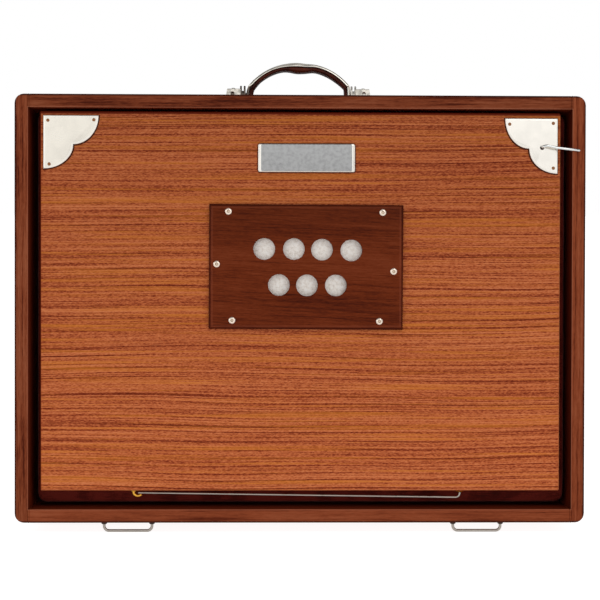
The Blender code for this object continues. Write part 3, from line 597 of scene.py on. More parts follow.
@functools.cache
def hide():
    """Cowhide, dyed and waxed: small pebbles with a dull gloss on their tops."""
    made, tree = start_finish("cowhide_dyed_and_waxed")
    base = add(tree, "TexCoord", out=3)
    pebbles = add(tree, "TexVoronoi", {"Vector": base, "Scale": 1100.0}, feature="DISTANCE_TO_EDGE")
    cracks = add(tree, "ValToRGB", {"Fac": pebbles}, [(0.0, grey(0)), (0.12, grey(1))])
    wear = add(tree, "TexNoise", {"Vector": base, "Scale": 120.0, "Detail": 4.0})
    shade = add(
        tree,
        "ValToRGB",
        {"Fac": wear},
        [(0.35, linear("#33120A")), (0.55, tone("hide")), (0.75, linear("#5E2817"))],
    )
    end_finish(
        tree,
        {
            "Base Color": shade,
            "Roughness": add(tree, "MapRange", {"Value": wear, "To Min": 0.45, "To Max": 0.65}),
            "Specular IOR Level": 0.15,
            "Normal": relief(tree, cracks, 0.05),
        },
    )
    return made


@functools.cache
def metal(name, shade, roughness, marks_axis, marks_mm, depth_mm, clouds=90.0, dulled=0.94):
    """A metal with the marks that its making left in it, drawn out along one axis, and dull clouds."""
    made, tree = start_finish(name)
    base = add(tree, "TexCoord", out=3)
    marks = grain(tree, base, marks_axis, 25 * marks_mm, marks_mm, 51, 3)
    smudges = add(tree, "TexNoise", {"Vector": base, "Scale": clouds, "Detail": 3.0})
    wear_and_highlight = math_node(tree, "MULTIPLY_ADD", marks, 0.6, smudges)
    rough = add(
        tree,
        "MapRange",
        {
            "Value": wear_and_highlight,
            "From Min": 0.5,
            "From Max": 1.1,
            "To Min": 0.75 * roughness,
            "To Max": 1.3 * roughness,
        },
    )
    dull = [dulled * part for part in tone(shade)[:3]] + [1.0]
    stops = [(0.35, dull), (0.6, tone(shade))]
    end_finish(
        tree,
        {
            "Base Color": add(tree, "ValToRGB", {"Fac": smudges}, stops),
            "Metallic": 1.0,
            "Roughness": rough,
            "Normal": relief(tree, marks, depth_mm),
        },
    )
    return made


def plated_nickel():
    """Nickel, plated on polished steel: bright and warm, with a few faint rubbed marks."""
    return metal("nickel_plated_and_polished", "nickel", 0.16, X, 0.6, 0.004)


def rubbed_and_shaded_nickel():
    """Nickel, plated and rubbed dull, and darker on the left corner plate as painted shade: warm and slightly grey.
    """
    return metal("nickel_plated_rubbed_and_shaded", "rubbed_and_shaded_nickel", 0.22, X, 0.6, 0.004)


def screw_nickel():
    """Nickel, plated thin on steel screws: cream, with a yellow cast."""
    return metal("nickel_plated_screws", "screw_head", 0.25, X, 0.6, 0.004)


def shaded_recess_nickel():
    """Nickel in the recess of a screw, darker as painted shade: brown and dull."""
    return metal("nickel_plated_recess", "screw_recess", 0.4, X, 0.6, 0.004)


def handled_nickel():
    """Nickel on the handle, plated and dulled by hands: grey clouds over a warm gloss."""
    return metal("nickel_plated_handle", "rubbed_and_shaded_nickel", 0.24, X, 0.6, 0.004, 160.0, 0.72)


def polished_nickel():
    """Nickel, plated and polished along the rims: almost white."""
    return metal("nickel_polished_rims", "nickel", 0.3, Z, 0.3, 0.004)


def cast_nickel():
    """Zinc castings, nickel plated: uneven, with dull grey spots."""
    return metal("nickel_plated_castings", "rubbed_and_shaded_nickel", 0.3, Z, 0.5, 0.01, 420.0, 0.5)


def bright_wire():
    """Steel wire, drawn and nickel plated: a cool white gloss."""
    return metal("steel_wire_nickel_plated", "bright_steel", 0.2, X, 0.4, 0.004)


def brushed_aluminium():
    """Aluminium, brushed lengthwise: grey with fine lines. Real lines of 0.05 mm are drawn at 0.25 mm."""
    return metal("aluminium_brushed", "aluminium", 0.36, X, 0.25, 0.01, 400.0, 0.8)


def drawn_steel():
    """Steel wire, drawn and zinc plated: a grey gloss."""
    return metal("steel_drawn_and_plated", "steel", 0.24, X, 0.4, 0.004)


def plated_zinc():
    """Steel wire, drawn, bent and zinc plated: mid grey."""
    return metal("steel_wire_zinc_plated", "zinc", 0.3, X, 0.4, 0.004)


def rolled_brass():
    """Brass, rolled or turned: pale gold, slightly dulled."""
    return metal("brass_rolled", "brass", 0.28, Z, 0.3, 0.006)


def aged_brass():
    """Brass nails, turned and left to tarnish: brown gold."""
    return metal("brass_tarnished", "nail_brass", 0.4, Z, 0.3, 0.006)


def shaded_steel():
    """Steel, stamped, and darker as painted shade: grey brown."""
    return metal("steel_stamped_dark", "shaded_steel", 0.35, Z, 0.3, 0.006)


def polished_aluminium():
    """Aluminium, polished at the plate's ends: almost white."""
    return metal("aluminium_polished", "nickel", 0.3, Z, 0.3, 0.004)


@functools.cache
def rubber():
    """Black rubber, moulded: dull with a faint bloom."""
    made, tree = start_finish("rubber_moulded")
    base = add(tree, "TexCoord", out=3)
    bloom = add(tree, "TexNoise", {"Vector": base, "Scale": 500.0, "Detail": 3.0})
    stops = [(0.4, tone("rubber")), (0.8, linear("#4A3026"))]
    end_finish(
        tree,
        {
            "Base Color": add(tree, "ValToRGB", {"Fac": bloom}, stops),
            "Roughness": 0.7,
            "Normal": relief(tree, bloom, 0.03),
        },
    )
    return made


@functools.cache
def waxed_thread():
    """Linen thread, twisted and waxed: short slanting strands."""
    made, tree = start_finish("linen_thread_twisted")
    base = add(tree, "TexCoord", out=3)
    strands = add(tree, "TexWave", {"Vector": base, "Scale": 700.0, "Distortion": 2.0})
    stops = [(0.2, linear("#35180E")), (0.8, tone("thread"))]
    end_finish(
        tree,
        {
            "Base Color": add(tree, "ValToRGB", {"Fac": strands}, stops),
            "Roughness": 0.6,
            "Normal": relief(tree, strands, 0.05),
        },
    )
    return made


def join_rings(shell, rings, loop=False):
    """Joins rings of points into a skin, capped at its ends or closed on itself."""
    rows = [[shell.verts.new(point) for point in ring] for ring in rings]
    pairs = list(zip(rows, rows[1:]))
    if loop:
        pairs.append((rows[-1], rows[0]))
    else:
        shell.faces.new(rows[0])
        shell.faces.new(rows[-1])
    for near, far in pairs:
        for i in range(len(near)):
            shell.faces.new((near[i - 1], near[i], far[i], far[i - 1]))
    return shell


def skin(rings, loop=False):
    return join_rings(bmesh.new(), rings, loop)


def rounded_path(points, radius, steps=8):
    """The points with each inner corner rounded to this radius."""
    path = [Vector(points[0])]
    for before, corner, after in zip(points, points[1:], points[2:]):
        corner = Vector(corner)
        back = (Vector(before) - corner).normalized()
        ahead = (Vector(after) - corner).normalized()
        half = back.angle(ahead) / 2
        middle = corner + (back + ahead).normalized() * radius / math.sin(half)
        start = corner + back * radius / math.tan(half) - middle
        end = corner + ahead * radius / math.tan(half) - middle
        turn = start.angle(end)
        for i in range(steps + 1):
            share = i / steps
            arm = start * math.sin((1 - share) * turn) + end * math.sin(share * turn)
            path.append(middle + arm / math.sin(turn))
    return path + [Vector(points[-1])]


def frames_along(path):
    """The points of a path with the direction there and a turning side direction."""
    ahead = (path[1] - path[0]).normalized()
    across = ahead.orthogonal().normalized()
    stations = []
    for i, point in enumerate(path):
        along = (path[min(i + 1, len(path) - 1)] - path[max(i - 1, 0)]).normalized()
        across = (across - along * across.dot(along)).normalized()
        stations.append((point, along, across))
    return stations


def tube(shell, path, radius, sides=16):
    """A round wire along the path, with rounded ends."""
    stations = [(*station, 1.0) for station in frames_along(path)]
    (start, start_way, start_side, _), (end, end_way, end_side, _) = stations[0], stations[-1]
    caps = ((0.0, 0.35), (0.15, 0.75), (0.45, 0.95))
    stations[:1] = [(start + start_way * radius * d, start_way, start_side, r) for d, r in caps]
    stations[-1:] = [(end - end_way * radius * d, end_way, end_side, r) for d, r in reversed(caps)]
    rings = []
    for point, along, across, share in stations:
        up = along.cross(across)
        turns = (2 * math.pi * i / sides for i in range(sides))
        rings.append(
            [point + radius * share * (math.cos(a) * across + math.sin(a) * up) for a in turns]
        )
    return join_rings(shell, rings)


def turned(shell, profile, centre, axis, sides=32):
    """A turned shape: radius and height pairs about an axis, from its foot to its crown."""
    turn = Vector((0, 0, 1)).rotation_difference(Vector(axis)).to_matrix()
    rings = []
    for radius, height in profile:
        ring = []
        for i in range(sides):
            a = 2 * math.pi * i / sides
            spoke = Vector((radius * math.cos(a), radius * math.sin(a), height))
            ring.append(Vector(centre) + turn @ spoke)
        rings.append(ring)
    return join_rings(shell, rings)


def arc(cx, cz, radius, start, end, steps):
    angles = [math.radians(start + (end - start) * i / steps) for i in range(steps + 1)]
    return [(cx + radius * math.cos(a), cz + radius * math.sin(a)) for a in angles]


def circle(cx, cz, radius, sides):
    return arc(cx, cz, radius, 0, 360 - 360 / sides, sides - 1)


def round_rectangle(x0, x1, z0, z1, radius, steps=8, straight=1):
    """A rectangle with round corners, and extra points along its straight sides."""
    corners = ((x1, z0, -1, 1, 270), (x1, z1, -1, -1, 0), (x0, z1, 1, -1, 90), (x0, z0, 1, 1, 180))
    bends = [
        arc(x + right * radius, z + up * radius, radius, start, start + 90, steps)
        for x, z, right, up, start in corners
    ]
    outline = []
    for bend, following in zip(bends, bends[1:] + bends[:1]):
        outline += bend
        (xa, za), (xb, zb) = bend[-1], following[0]
        for i in range(1, straight):
            share = i / straight
            outline.append((xa + (xb - xa) * share, za + (zb - za) * share))
    return outline


def pierced(stages, holes):
    """A plate drawn through outlines from front to back, with holes drawn the same way."""
    shell = bmesh.new()
    ends = [[], []]
    for stack in [stages, *holes]:
        rows = [[shell.verts.new((x, y, z)) for x, z in outline] for outline, y in stack]
        for near, far in zip(rows, rows[1:]):
            for i in range(len(near)):
                shell.faces.new((near[i - 1], near[i], far[i], far[i - 1]))
        for end, row in zip(ends, (rows[0], rows[-1])):
            end += [shell.edges.get((row[i - 1], row[i])) for i in range(len(row))]
    for end in ends:
        bmesh.ops.triangle_fill(shell, use_beauty=True, edges=end)
    return shell


def place(name, shell, finish, body, nodes=(), slot=None, crease=35):
    """Makes the shell a piece that rides on a body, or is left free where body is None."""
    bmesh.ops.recalc_face_normals(shell, faces=shell.faces)
    mesh = bpy.data.meshes.new(name)
    shell.to_mesh(mesh)
    shell.free()
    piece = bpy.data.objects.new(name, mesh)
    bpy.context.scene.collection.objects.link(piece)
    mesh.materials.append(finish)
    mesh.shade_smooth()
    mesh.set_sharp_from_angle(angle=math.radians(crease))
    if body:
        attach(piece, body)
    if nodes:
        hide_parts(*nodes)
    return piece


def soften(piece, width, degrees=30, segments=2, front=None):
    """Rounds the sharp edges of a piece, or only those that lie in a plane across Y."""
    rounding = piece.modifiers.new("rounding", "BEVEL")
    rounding.width = width
    rounding.segments = segments
    rounding.limit_method = "ANGLE" if front is None else "WEIGHT"
    rounding.angle_limit = math.radians(degrees)
    rounding.harden_normals = True
    if front is not None:
        mesh = piece.data
        weights = mesh.attributes.new("bevel_weight_edge", "FLOAT", "EDGE")
        faces = {}
        for polygon in mesh.polygons:
            for key in polygon.edge_keys:
                faces.setdefault(key, []).append(abs(polygon.normal.y))
        for edge, weight in zip(mesh.edges, weights.data):
            flat = all(abs(mesh.vertices[i].co.y - front) < 1e-6 for i in edge.vertices)
            weight.value = 1.0 if flat and min(faces[edge.key]) < 0.5 else 0.0


def dress(node, finish, rounding=0.0):
    """Gives a solid that is kept its finish, and rounds its edges."""
    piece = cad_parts[node]
    piece.data.materials.clear()
    piece.data.materials.append(finish)
    if rounding:
        weld = piece.modifiers.new("weld", "WELD")
        weld.merge_threshold = 1e-5
        flat = piece.modifiers.new("flat_faces", "DECIMATE")
        flat.decimate_type = "DISSOLVE"
        flat.angle_limit = math.radians(0.5)
        soften(piece, rounding)
    return piece


class SHRUTI_OT_case(bpy.types.Operator):
    """Finishes the case's boards and the boards inside it, and fills the case's joints with glue"""

    bl_idname = "shruti.case"
    bl_label = "Case"

    def execute(self, context):
        edge = context.scene.shruti_sizes.board_edge
        dress("case_left_side", oiled_rosewood(Z, 1, (-0.29, 0.02, 0), 0.012, 0.21), edge)
        # The right side's inner wall starts from the stain colour at its front: painted shade.
        dress("case_right_side", oiled_rosewood(Z, 2, (0.27, 0.01, 0), 0.02, 0.05, 0.7, "stain_and_shade"), edge)
        boards = {
            "upper": oiled_rosewood(X, 3, (0, 0.015, 0.36), 0.012, 0.3),
            "lower": oiled_rosewood(X, 4, (0, 0.02, -0.06), 0.045, 0.0, 0.5),
        }
        dress("case_top", boards["upper"], edge)
        dress("case_bottom", boards["lower"], edge)
        for node in ("partition_board", "reservoir_frame"):
            dress(node, plywood())
        lap = 0.00025  # over the rounding of the two boards
        for height, low, high in (("upper", TOP_LOW, TOP_HIGH), ("lower", BASE_LOW, BASE_HIGH)):
            for name, x in (("left", low.x), ("right", high.x)):
                ends = sorted((x - math.copysign(lap, x), x + math.copysign(GAP + lap, x)))
                rings = [
                    [(px, y, pz) for px, pz in square(*ends, low.z + 0.00002, high.z - 0.00002)]
                    for y in (FRONT + 0.00002, BACK - 0.00002)
                ]
                place(f"case_glue_{height}_{name}", skin(rings), boards[height], "case", slot="rosewood")
        return {"FINISHED"}


def square(x0, x1, z0, z1):
    return [(x0, z0), (x1, z0), (x1, z1), (x0, z1)]


class SHRUTI_OT_pump_board(bpy.types.Operator):
    """Finishes the pump board and makes its name plate, corner plates and nails"""

    bl_idname = "shruti.pump_board"
    bl_label = "Pump Board"

    def execute(self, context):
        sizes = context.scene.shruti_sizes
        # Painted shadow in strips at the board's left and top.
        finish = teak_veneer("pump_board", PUMP_HIGH.y - 0.0001, 0.0011, 0.0022)
        dress("pump_board", finish, sizes.board_edge)
        make_name_plate()
        for side, turn in (("left", -1), ("right", 1)):
            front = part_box(f"corner_plate_{side}")[0].y
            make_corner_plate(side, turn, [(*LATCH_PIVOT, 0.00152)] if turn > 0 else ())
            for i, (x, z) in enumerate(NAILS[side]):
                dome = [(1.0, 0.0), (0.95, 0.0002), (0.7, 0.0004), (0.3, 0.00048)]
                profile = [(sizes.nail * r, h) for r, h in dome]
                shell = turned(bmesh.new(), profile, (x, front, z), (0, -1, 0), 20)
                place(f"corner_nail_{side}_{i + 1}", shell, aged_brass(), "pump", slot="brass")
        return {"FINISHED"}


def make_name_plate():
    """A bare plate, brushed flat, with polished slopes at its two ends and rolled long edges."""
    low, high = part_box("name_plate")
    low += Vector((-0.0001, 0, 0.0007))
    high += Vector((-0.0008, 0, 0.0013))
    stages = []
    for end, edge, rise in (
        (2.6, 1.0, 1.2),
        (2.2, 0.7, 1.15),
        (0.6, 0.35, 0.8),
        (0.12, 0.1, 0.5),
        (0.0, 0.0, 0.0),
    ):
        end, edge, rise = end / 1000, edge / 1000, rise / 1000
        outline = round_rectangle(
            low.x + end, high.x - end, low.z + edge, high.z - edge, max(0.0016 - edge, 0.0006), 6
        )
        stages.append((outline, high.y - rise))
    piece = place(
        "name_plate_bare",
        pierced(stages, ()),
        brushed_aluminium(),
        "pump",
        ["name_plate"],
        "brushed_aluminium",
        60,
    )
    # Painted shadow: a dark line that shows round the plate, widest at its sides and below.
    line = round_rectangle(low.x - 0.0004, high.x + 0.0004, low.z - 0.0004, high.z + 0.0002, 0.0020, 6)
    shell = pierced([(line, high.y + 0.00001), (line, high.y + 0.00025)], ())
    place("name_plate_shadow_outline", shell, shadow_paint(), "pump", slot="rosewood")
    piece.data.materials.append(polished_aluminium())
    for face in piece.data.polygons:
        centre = face.center
        outside = max(low.x + 0.0022 - centre.x, centre.x - high.x + 0.0022, low.z + 0.0008 - centre.z)
        face.material_index = int(outside > 0 and face.normal.y > -0.999)


def corner_outline(name, side, grow=0.0):
    """The outline of a corner plate with its two lobes, or of one that is larger all round."""
    corner, top, wide, tall, notch = CORNERS[name]
    corner, top, wide, tall = corner + side * grow, top + grow, wide + 2 * grow, tall + 2 * grow
    across, down = (part + 2 * grow for part in notch)
    quarter = arc(0, 0, 1, 0, -90, 20)
    outline = [(0, 0)] + [(across + (wide - across) * a, down * b) for a, b in quarter]
    outline += [(across * a, (tall - down) * b - down) for a, b in quarter[1:]]
    return [(corner - side * right, top + up) for right, up in outline]


def make_corner_plate(name, side, holes):
    """A two-lobed plate over an upper corner, with a rolled rim and a painted shadow line along it."""
    node = f"corner_plate_{name}"
    low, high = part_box(node)
    shape = corner_outline(name, side)
    bores = [[(circle(x, z, r, 20), y) for y in (low.y, high.y)] for x, z, r in holes]
    rim = bpy.context.scene.shruti_sizes.corner_rim
    stages = [
        (corner_outline(name, side, -inset * rim), low.y + drop)
        for inset, drop in ((1.0, 0.0), (0.3, 0.00014), (0.08, 0.0003), (0.0, 0.0005))
    ]
    sheet = pierced([*stages, (shape, high.y)], bores)
    # The left plate is darker than the right one: painted shade.
    face = rubbed_and_shaded_nickel() if side < 0 else plated_nickel()
    piece = place(f"{node}_sheet", sheet, face, "pump", [node], "nickel", 8)
    piece.data.materials.append(polished_nickel())
    for polygon in piece.data.polygons:
        polygon.material_index = int(polygon.normal.y > -0.9999)
    # Painted shadow: a dark line that shows from under the plate, mostly along its lower and inner edges.
    line = [(x - side * 0.0002, z - 0.0002) for x, z in corner_outline(name, side, 0.0005)]
    shell = pierced([(line, high.y + 0.00001), (line, high.y + 0.00025)], ())
    place(f"{node}_shadow_outline", shell, shadow_paint(), "pump", slot="rosewood")


def on_valve(right, up):
    """A point of the valve plate, which is screwed on a little askew."""
    x = right * math.cos(VALVE_TILT) + up * math.sin(VALVE_TILT)
    z = up * math.cos(VALVE_TILT) - right * math.sin(VALVE_TILT)
    middle = (VALVE_LOW + VALVE_HIGH) / 2
    return middle.x + VALVE_MIDDLE[0] + x, middle.z + VALVE_MIDDLE[1] + z


def make_screw(name, centre, axis, radius, turn, body, slot="steel_wire"):
    """A round-headed screw with a cross recess, in plated steel or nickel."""
    finish = screw_nickel() if slot == "nickel" else drawn_steel()
    rise = 0.5 * radius
    profile = ((1.0, 0.0), (1.0, 0.3), (0.9, 0.65), (0.6, 0.95), (0.25, 1.0))
    head = turned(bmesh.new(), [(radius * r, rise * h) for r, h in profile], (0, 0, 0), (0, 0, 1))
    piece = place(name, head, finish, None, slot=slot)
    recess = bmesh.new()
    long, wide = 0.6 * radius, 0.26 * radius
    for x, y, tapered in ((long, wide, (0.35, 1.0)), (wide, long, (1.0, 0.35))):
        low = [(px, pz, 0.25 * rise) for px, pz in square(-x * tapered[0], x * tapered[0],
                                                         -y * tapered[1], y * tapered[1])]
        high = [(px, pz, 1.6 * rise) for px, pz in square(-x, x, -y, y)]
        join_rings(recess, [low, high])
    # Painted shade: a darker nickel or steel in the cross recess.
    inside = shaded_recess_nickel() if slot == "nickel" else shaded_steel()
    cutter = place(f"{name}_recess", recess, inside, None)
    carve = piece.modifiers.new("recess", "BOOLEAN")
    carve.operation = "DIFFERENCE"
    carve.solver = "EXACT"
    carve.material_mode = "TRANSFER"
    carve.use_self = True
    carve.object = cutter
    graph = bpy.context.evaluated_depsgraph_get()
    carved = bpy.data.meshes.new_from_object(piece.evaluated_get(graph))
    piece.modifiers.clear()
    bpy.data.objects.remove(cutter)
    swing = Vector((0, 0, 1)).rotation_difference(Vector(axis)).to_matrix().to_4x4()
    carved.transform(Matrix.Translation(centre) @ swing @ Matrix.Rotation(turn, 4, "Z"))
    carved.shade_smooth()
    carved.set_sharp_from_angle(angle=math.radians(35))
    piece.data = carved
    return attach(piece, body)


class SHRUTI_OT_inlet_valve(bpy.types.Operator):
    """Makes the bevelled valve plate with its holes, its screws and the leather flap behind it"""

    bl_idname = "shruti.inlet_valve"
    bl_label = "Inlet Valve"

    def execute(self, context):
        low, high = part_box("inlet_valve_plate")
        half_x, half_z = (side / 2 for side in VALVE_SIZE)
        stages = []
        for inset, y in ((2.45, low.y), (2.2, low.y + 0.0001), (0.15, high.y - 0.0018), (0.0, high.y)):
            x, z = half_x - inset / 1000, half_z - inset / 1000
            corners = ((-x, -z), (x, -z), (x, z), (-x, z))
            stages.append(([on_valve(*corner) for corner in corners], y))
        middle = (low + high) / 2
        holes = []
        for right, up in VALVE_HOLES:
            rims = ((0.0078, low.y), (0.0076, low.y + 0.0003), (0.0076, high.y))
            outlines = [(circle(middle.x + right, middle.z + up, radius, 48), y) for radius, y in rims]
            holes.append(outlines)
        shell = pierced(stages, holes)
        piece = place(
            "inlet_valve_wood",
            shell,
            dark_rosewood(),
            "pump",
            ["inlet_valve_plate"],
            "dark_rosewood",
            30,
        )
        soften(piece, 0.0002, 35)
        for i, (right, up) in enumerate(VALVE_SCREWS):
            centre = (middle.x + right, low.y, middle.z + up)
            radius = context.scene.shruti_sizes.screw
            make_screw(f"valve_screw_{i + 1}", centre, (0, -1, 0), radius, 0.4 + 0.7 * i, "pump", "nickel")
        make_leather("inlet_valve_leather", "inlet_valve_flap", "inlet_flap")
        return {"FINISHED"}


def make_leather(name, node, body):
    """A soft leather flap with rounded edges and a slightly uneven face."""
    low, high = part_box(node)
    thick = high.y - low.y
    rings = []
    for inset, share in ((0.5, 0.0), (0.0, 0.25), (0.0, 0.75), (0.5, 1.0)):
        inset /= 1000
        outline = round_rectangle(
            low.x + inset, high.x - inset, low.z + inset, high.z - inset, 0.002, 4, 24
        )
        rings.append([(x, low.y + thick * share, z) for x, z in outline])
    shell = skin(rings)
    place(name, shell, suede(), body, [node], "white_leather", 80)


class SHRUTI_OT_wires(bpy.types.Operator):
    """Makes the latch hook, the long stay wire, its cup hook and its bush"""

    bl_idname = "shruti.wires"
    bl_label = "Wires"

    def execute(self, context):
        low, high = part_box("latch_hook")
        radius = 0.00105
        y = FRONT - GAP - radius
        x, z = LATCH_LINE[0]
        points = [(x, high.y - 0.0002, z)] + [(x, y, z) for x, z in LATCH_LINE]
        path = rounded_path(points, radius)
        shell = tube(bmesh.new(), path, radius - 0.00002)
        place("latch_wire", shell, bright_wire(), "latch", ["latch_hook"], "steel_wire", 60)

        low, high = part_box("stay_wire")
        y = (low.y + high.y) / 2
        reach = STAY_REACH
        radius = 0.00075
        base = PUMP_LOW.z
        path = rounded_path(
            [
                (reach, y, high.z),
                (reach, y, base - 0.0052),
                (low.x + 0.0001, y, base - 0.0019),
            ],
            4 * radius,
        )
        shell = tube(bmesh.new(), path, radius - 0.00001)
        place("stay_rod", shell, plated_zinc(), "stay", ["stay_wire"], "steel_wire", 60)

        cup = 0.0031
        x = -reach - 0.45 * cup
        outline = [(x - cup, base - GAP), (x - cup, base - 0.0008)]
        outline += [(px, base - 0.0016 + 0.8 * pz) for px, pz in arc(x, 0, cup, 180, 325, 24)]
        path = [Vector((px, y, pz)) for px, pz in outline]
        shell = tube(bmesh.new(), path, 0.00102)
        turned(
            shell,
            [(0.0019, 0.0), (0.0019, 0.0004), (0.0012, 0.0008), (0.0008, 0.0009)],
            (x - cup, y, base - GAP),
            (0, 0, -1),
            24,
        )
        place("stay_cup_hook", shell, rolled_brass(), "pump", ["stay_hook"], "brass", 60)

        low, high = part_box("stay_eyelet")
        rings = []
        inner, outer = 0.0011, (high.x - low.x) / 2
        for radius, drop in (
            (inner, 0.0),
            (outer - 0.0002, 0.0),
            (outer, 0.0002),
            (outer - 0.0004, 0.0007),
            (0.0018, 0.0009),
            (0.0015, 0.0012),
            (inner, 0.0012),
        ):
            rings.append([(px, pz, high.z - drop) for px, pz in circle(reach, y, radius, 32)])
        place("stay_bush", skin(rings, True), rolled_brass(), "pump", ["stay_eyelet"], "brass", 50)
        return {"FINISHED"}


def fold_cloth(name, node, folds, depth, reach=(0.0, 0.0, 0.0)):
    """A folded ring of cloth between the case and a board.

    The reach is how far it goes past its solid to the left, to the right and below.
    """
    low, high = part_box(node)
    left, right, foot = low.x - reach[0], high.x + reach[1], low.z - reach[2]
    per_fold = 8
    stations = (2 * folds + 1) * per_fold // 2 * 2
    wave = bpy.context.scene.shruti_sizes.fold_wave
    thick = 0.0005
    shell = bmesh.new()
    rows = []
    for i in range(stations + 1):
        share = i / stations
        phase = share * (2 * folds + 1)
        zigzag = math.asin(0.97 * math.cos(math.pi * phase)) / math.asin(0.97)
        inset = (depth - 0.002) * (1 + zigzag) / 2 + thick / 2
        y = low.y + 0.0003 + (high.y - low.y - 0.0006) * share
        radius = max(0.006 - inset / 2, 0.0015)
        outline = round_rectangle(
            left + inset, right - inset, foot + inset, high.z - inset, radius, 4, 36
        )
        row = []
        for x, z in outline:
            ripple = noise.noise(Vector((x * 60, y * 90, z * 60))) * wave
            row.append(shell.verts.new((x * (1 - ripple / 0.19), y, z + ripple * 0.3)))
        rows.append(row)
    for near, far in zip(rows, rows[1:]):
        for i in range(len(near)):
            shell.faces.new((near[i - 1], near[i], far[i], far[i - 1]))
    bmesh.ops.recalc_face_normals(shell, faces=shell.faces)
    bmesh.ops.solidify(shell, geom=shell.faces[:], thickness=thick)
    centre = ((left + right) / 2, (foot + high.z) / 2)
    finish = book_cloth(centre, (right - left) / 2, (high.z - foot) / 2)
    piece = place(name, shell, finish, None, [node], "bellows_cloth", 180)
    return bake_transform(piece)


class SHRUTI_OT_bellows(bpy.types.Operator):
    """Makes the folded cloth of the pump and of the reservoir"""

    bl_idname = "shruti.bellows"
    bl_label = "Bellows"

    def execute(self, context):
        reach = (0.0, 0.0019, 0.0013)
        fold_cloth("pump_cloth", "pump_bellows", 3, 0.012, reach)
        fold_cloth("reservoir_cloth", "reservoir_bellows", 1, 0.0096)
        return {"FINISHED"}


def coil(name, node, turns, radius, wire):
    """A coil spring along Y between the case and a board."""
    low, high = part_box(node)
    centre = (low + high) / 2
    start, end = low.y + wire, high.y - wire
    per_turn = 28
    count = turns * per_turn
    path = []
    for i in range(count + 1):
        share = i / count
        a = 2 * math.pi * i / per_turn
        y = start + (end - start) * share
        path.append(Vector((centre.x + radius * math.cos(a), y, centre.z + radius * math.sin(a))))
    piece = place(name, tube(bmesh.new(), path, wire, 12), drawn_steel(), None, [node], "steel_wire", 60)
    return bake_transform(piece)


class SHRUTI_OT_springs(bpy.types.Operator):
    """Makes the coil springs of the pump and the reservoir"""

    bl_idname = "shruti.springs"
    bl_label = "Springs"

    def execute(self, context):
        coil("pump_coil", "pump_spring", 4, 0.012, 0.0008)
        for side in ("left", "right"):
            name = f"reservoir_spring_{side}"
            coil(f"reservoir_coil_{side}", name, 5, 0.005, 0.0008)
        return {"FINISHED"}


LEVER_ARM = 0.030
LEVER_BACK = REED_HIGH.y + 0.0021
LEVER_FRONT = LEVER_BACK + 0.0016


class SHRUTI_OT_reed_chest(bpy.types.Operator):
    """Finishes the reed chest and makes the thirteen tone levers with pads, knobs and screws"""

    bl_idname = "shruti.reed_chest"
    bl_label = "Reed Chest"

    def execute(self, context):
        edge = context.scene.shruti_sizes.board_edge
        finish = teak_veneer("reed_board", REED_LOW.y + 0.0001, 0.0007, 0.0007)
        dress("reed_board", finish, edge)
        dress("reed_chest_rail", oiled_rosewood(X, 6, (0, 0.1, 0.25)), edge)
        for number in NOTES:
            dress(f"reed_{number}", rolled_brass())
            make_lever(number)
        return {"FINISHED"}


def make_lever(number):
    """A lever with its leather pad, turned knob and pivot screw."""
    node = f"tone_lever_{number}"
    body = f"{node}_body"
    low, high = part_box(node)
    x = (low.x + high.x) / 2
    pivot_z = high.z - 0.0045
    neck = math.degrees(math.asin(0.0032 / 0.0045))
    waist = math.degrees(math.asin(0.0032 / 0.0065))
    outline = arc(x, pivot_z, 0.0045, neck - 90, 270 - neck, 24)
    outline += arc(x, pivot_z - LEVER_ARM, 0.0065, 90 + waist, 270 - waist, 14)
    outline += arc(x, pivot_z - 0.039, 0.0032, 180, 360, 14)
    outline += arc(x, pivot_z - LEVER_ARM, 0.0065, waist - 90, 90 - waist, 14)
    stages = [(outline, LEVER_FRONT), (outline, LEVER_BACK)]
    blade = place(f"{node}_blade", pierced(stages, ()), plated_nickel(), body, [node], "nickel")
    soften(blade, bpy.context.scene.shruti_sizes.plate_edge, 50)
    pad = [(0.0058, 0.0), (0.0062, 0.0003), (0.0062, 0.0012), (0.0058, 0.0018)]
    centre = (x, REED_HIGH.y + GAP, pivot_z - LEVER_ARM)
    shell = turned(bmesh.new(), pad, centre, (0, 1, 0), 36)
    place(f"{node}_pad", shell, suede(), body, slot="white_leather", crease=60)
    boss = [(0.0040, 0.0), (0.0042, 0.0002), (0.0042, 0.0018)]
    shell = turned(bmesh.new(), boss, (x, REED_HIGH.y + GAP, pivot_z), (0, 1, 0), 28)
    place(f"{node}_boss", shell, rolled_brass(), body, slot="brass")
    knob = [
        (0.0017, 0.0),
        (0.0014, 0.0006),
        (0.0016, 0.0013),
        (0.0028, 0.0020),
        (0.0030, 0.0026),
        (0.0027, 0.0032),
        (0.0018, 0.0036),
        (0.0008, 0.0037),
    ]
    centre = (x, LEVER_FRONT, pivot_z - 0.039)
    shell = turned(bmesh.new(), knob, centre, (0, 1, 0), 28)
    place(f"{node}_knob", shell, plated_nickel(), body, slot="nickel", crease=60)
    make_screw(f"{node}_screw", (x, LEVER_FRONT, pivot_z), (0, 1, 0), 0.0024, 0.3, "case")


class SHRUTI_OT_reservoir(bpy.types.Operator):
    """Finishes the reservoir board and makes the leather flap over the ports"""

    bl_idname = "shruti.reservoir"
    bl_label = "Reservoir"

    def execute(self, context):
        edge = context.scene.shruti_sizes.board_edge
        finish = teak_veneer("reservoir_board", RESERVOIR_LOW.y + 0.0001, 0.0007, 0.0007)
        dress("reservoir_board", finish, edge)
        make_leather("transfer_valve_leather", "transfer_valve_flap", "transfer_flap")
        return {"FINISHED"}


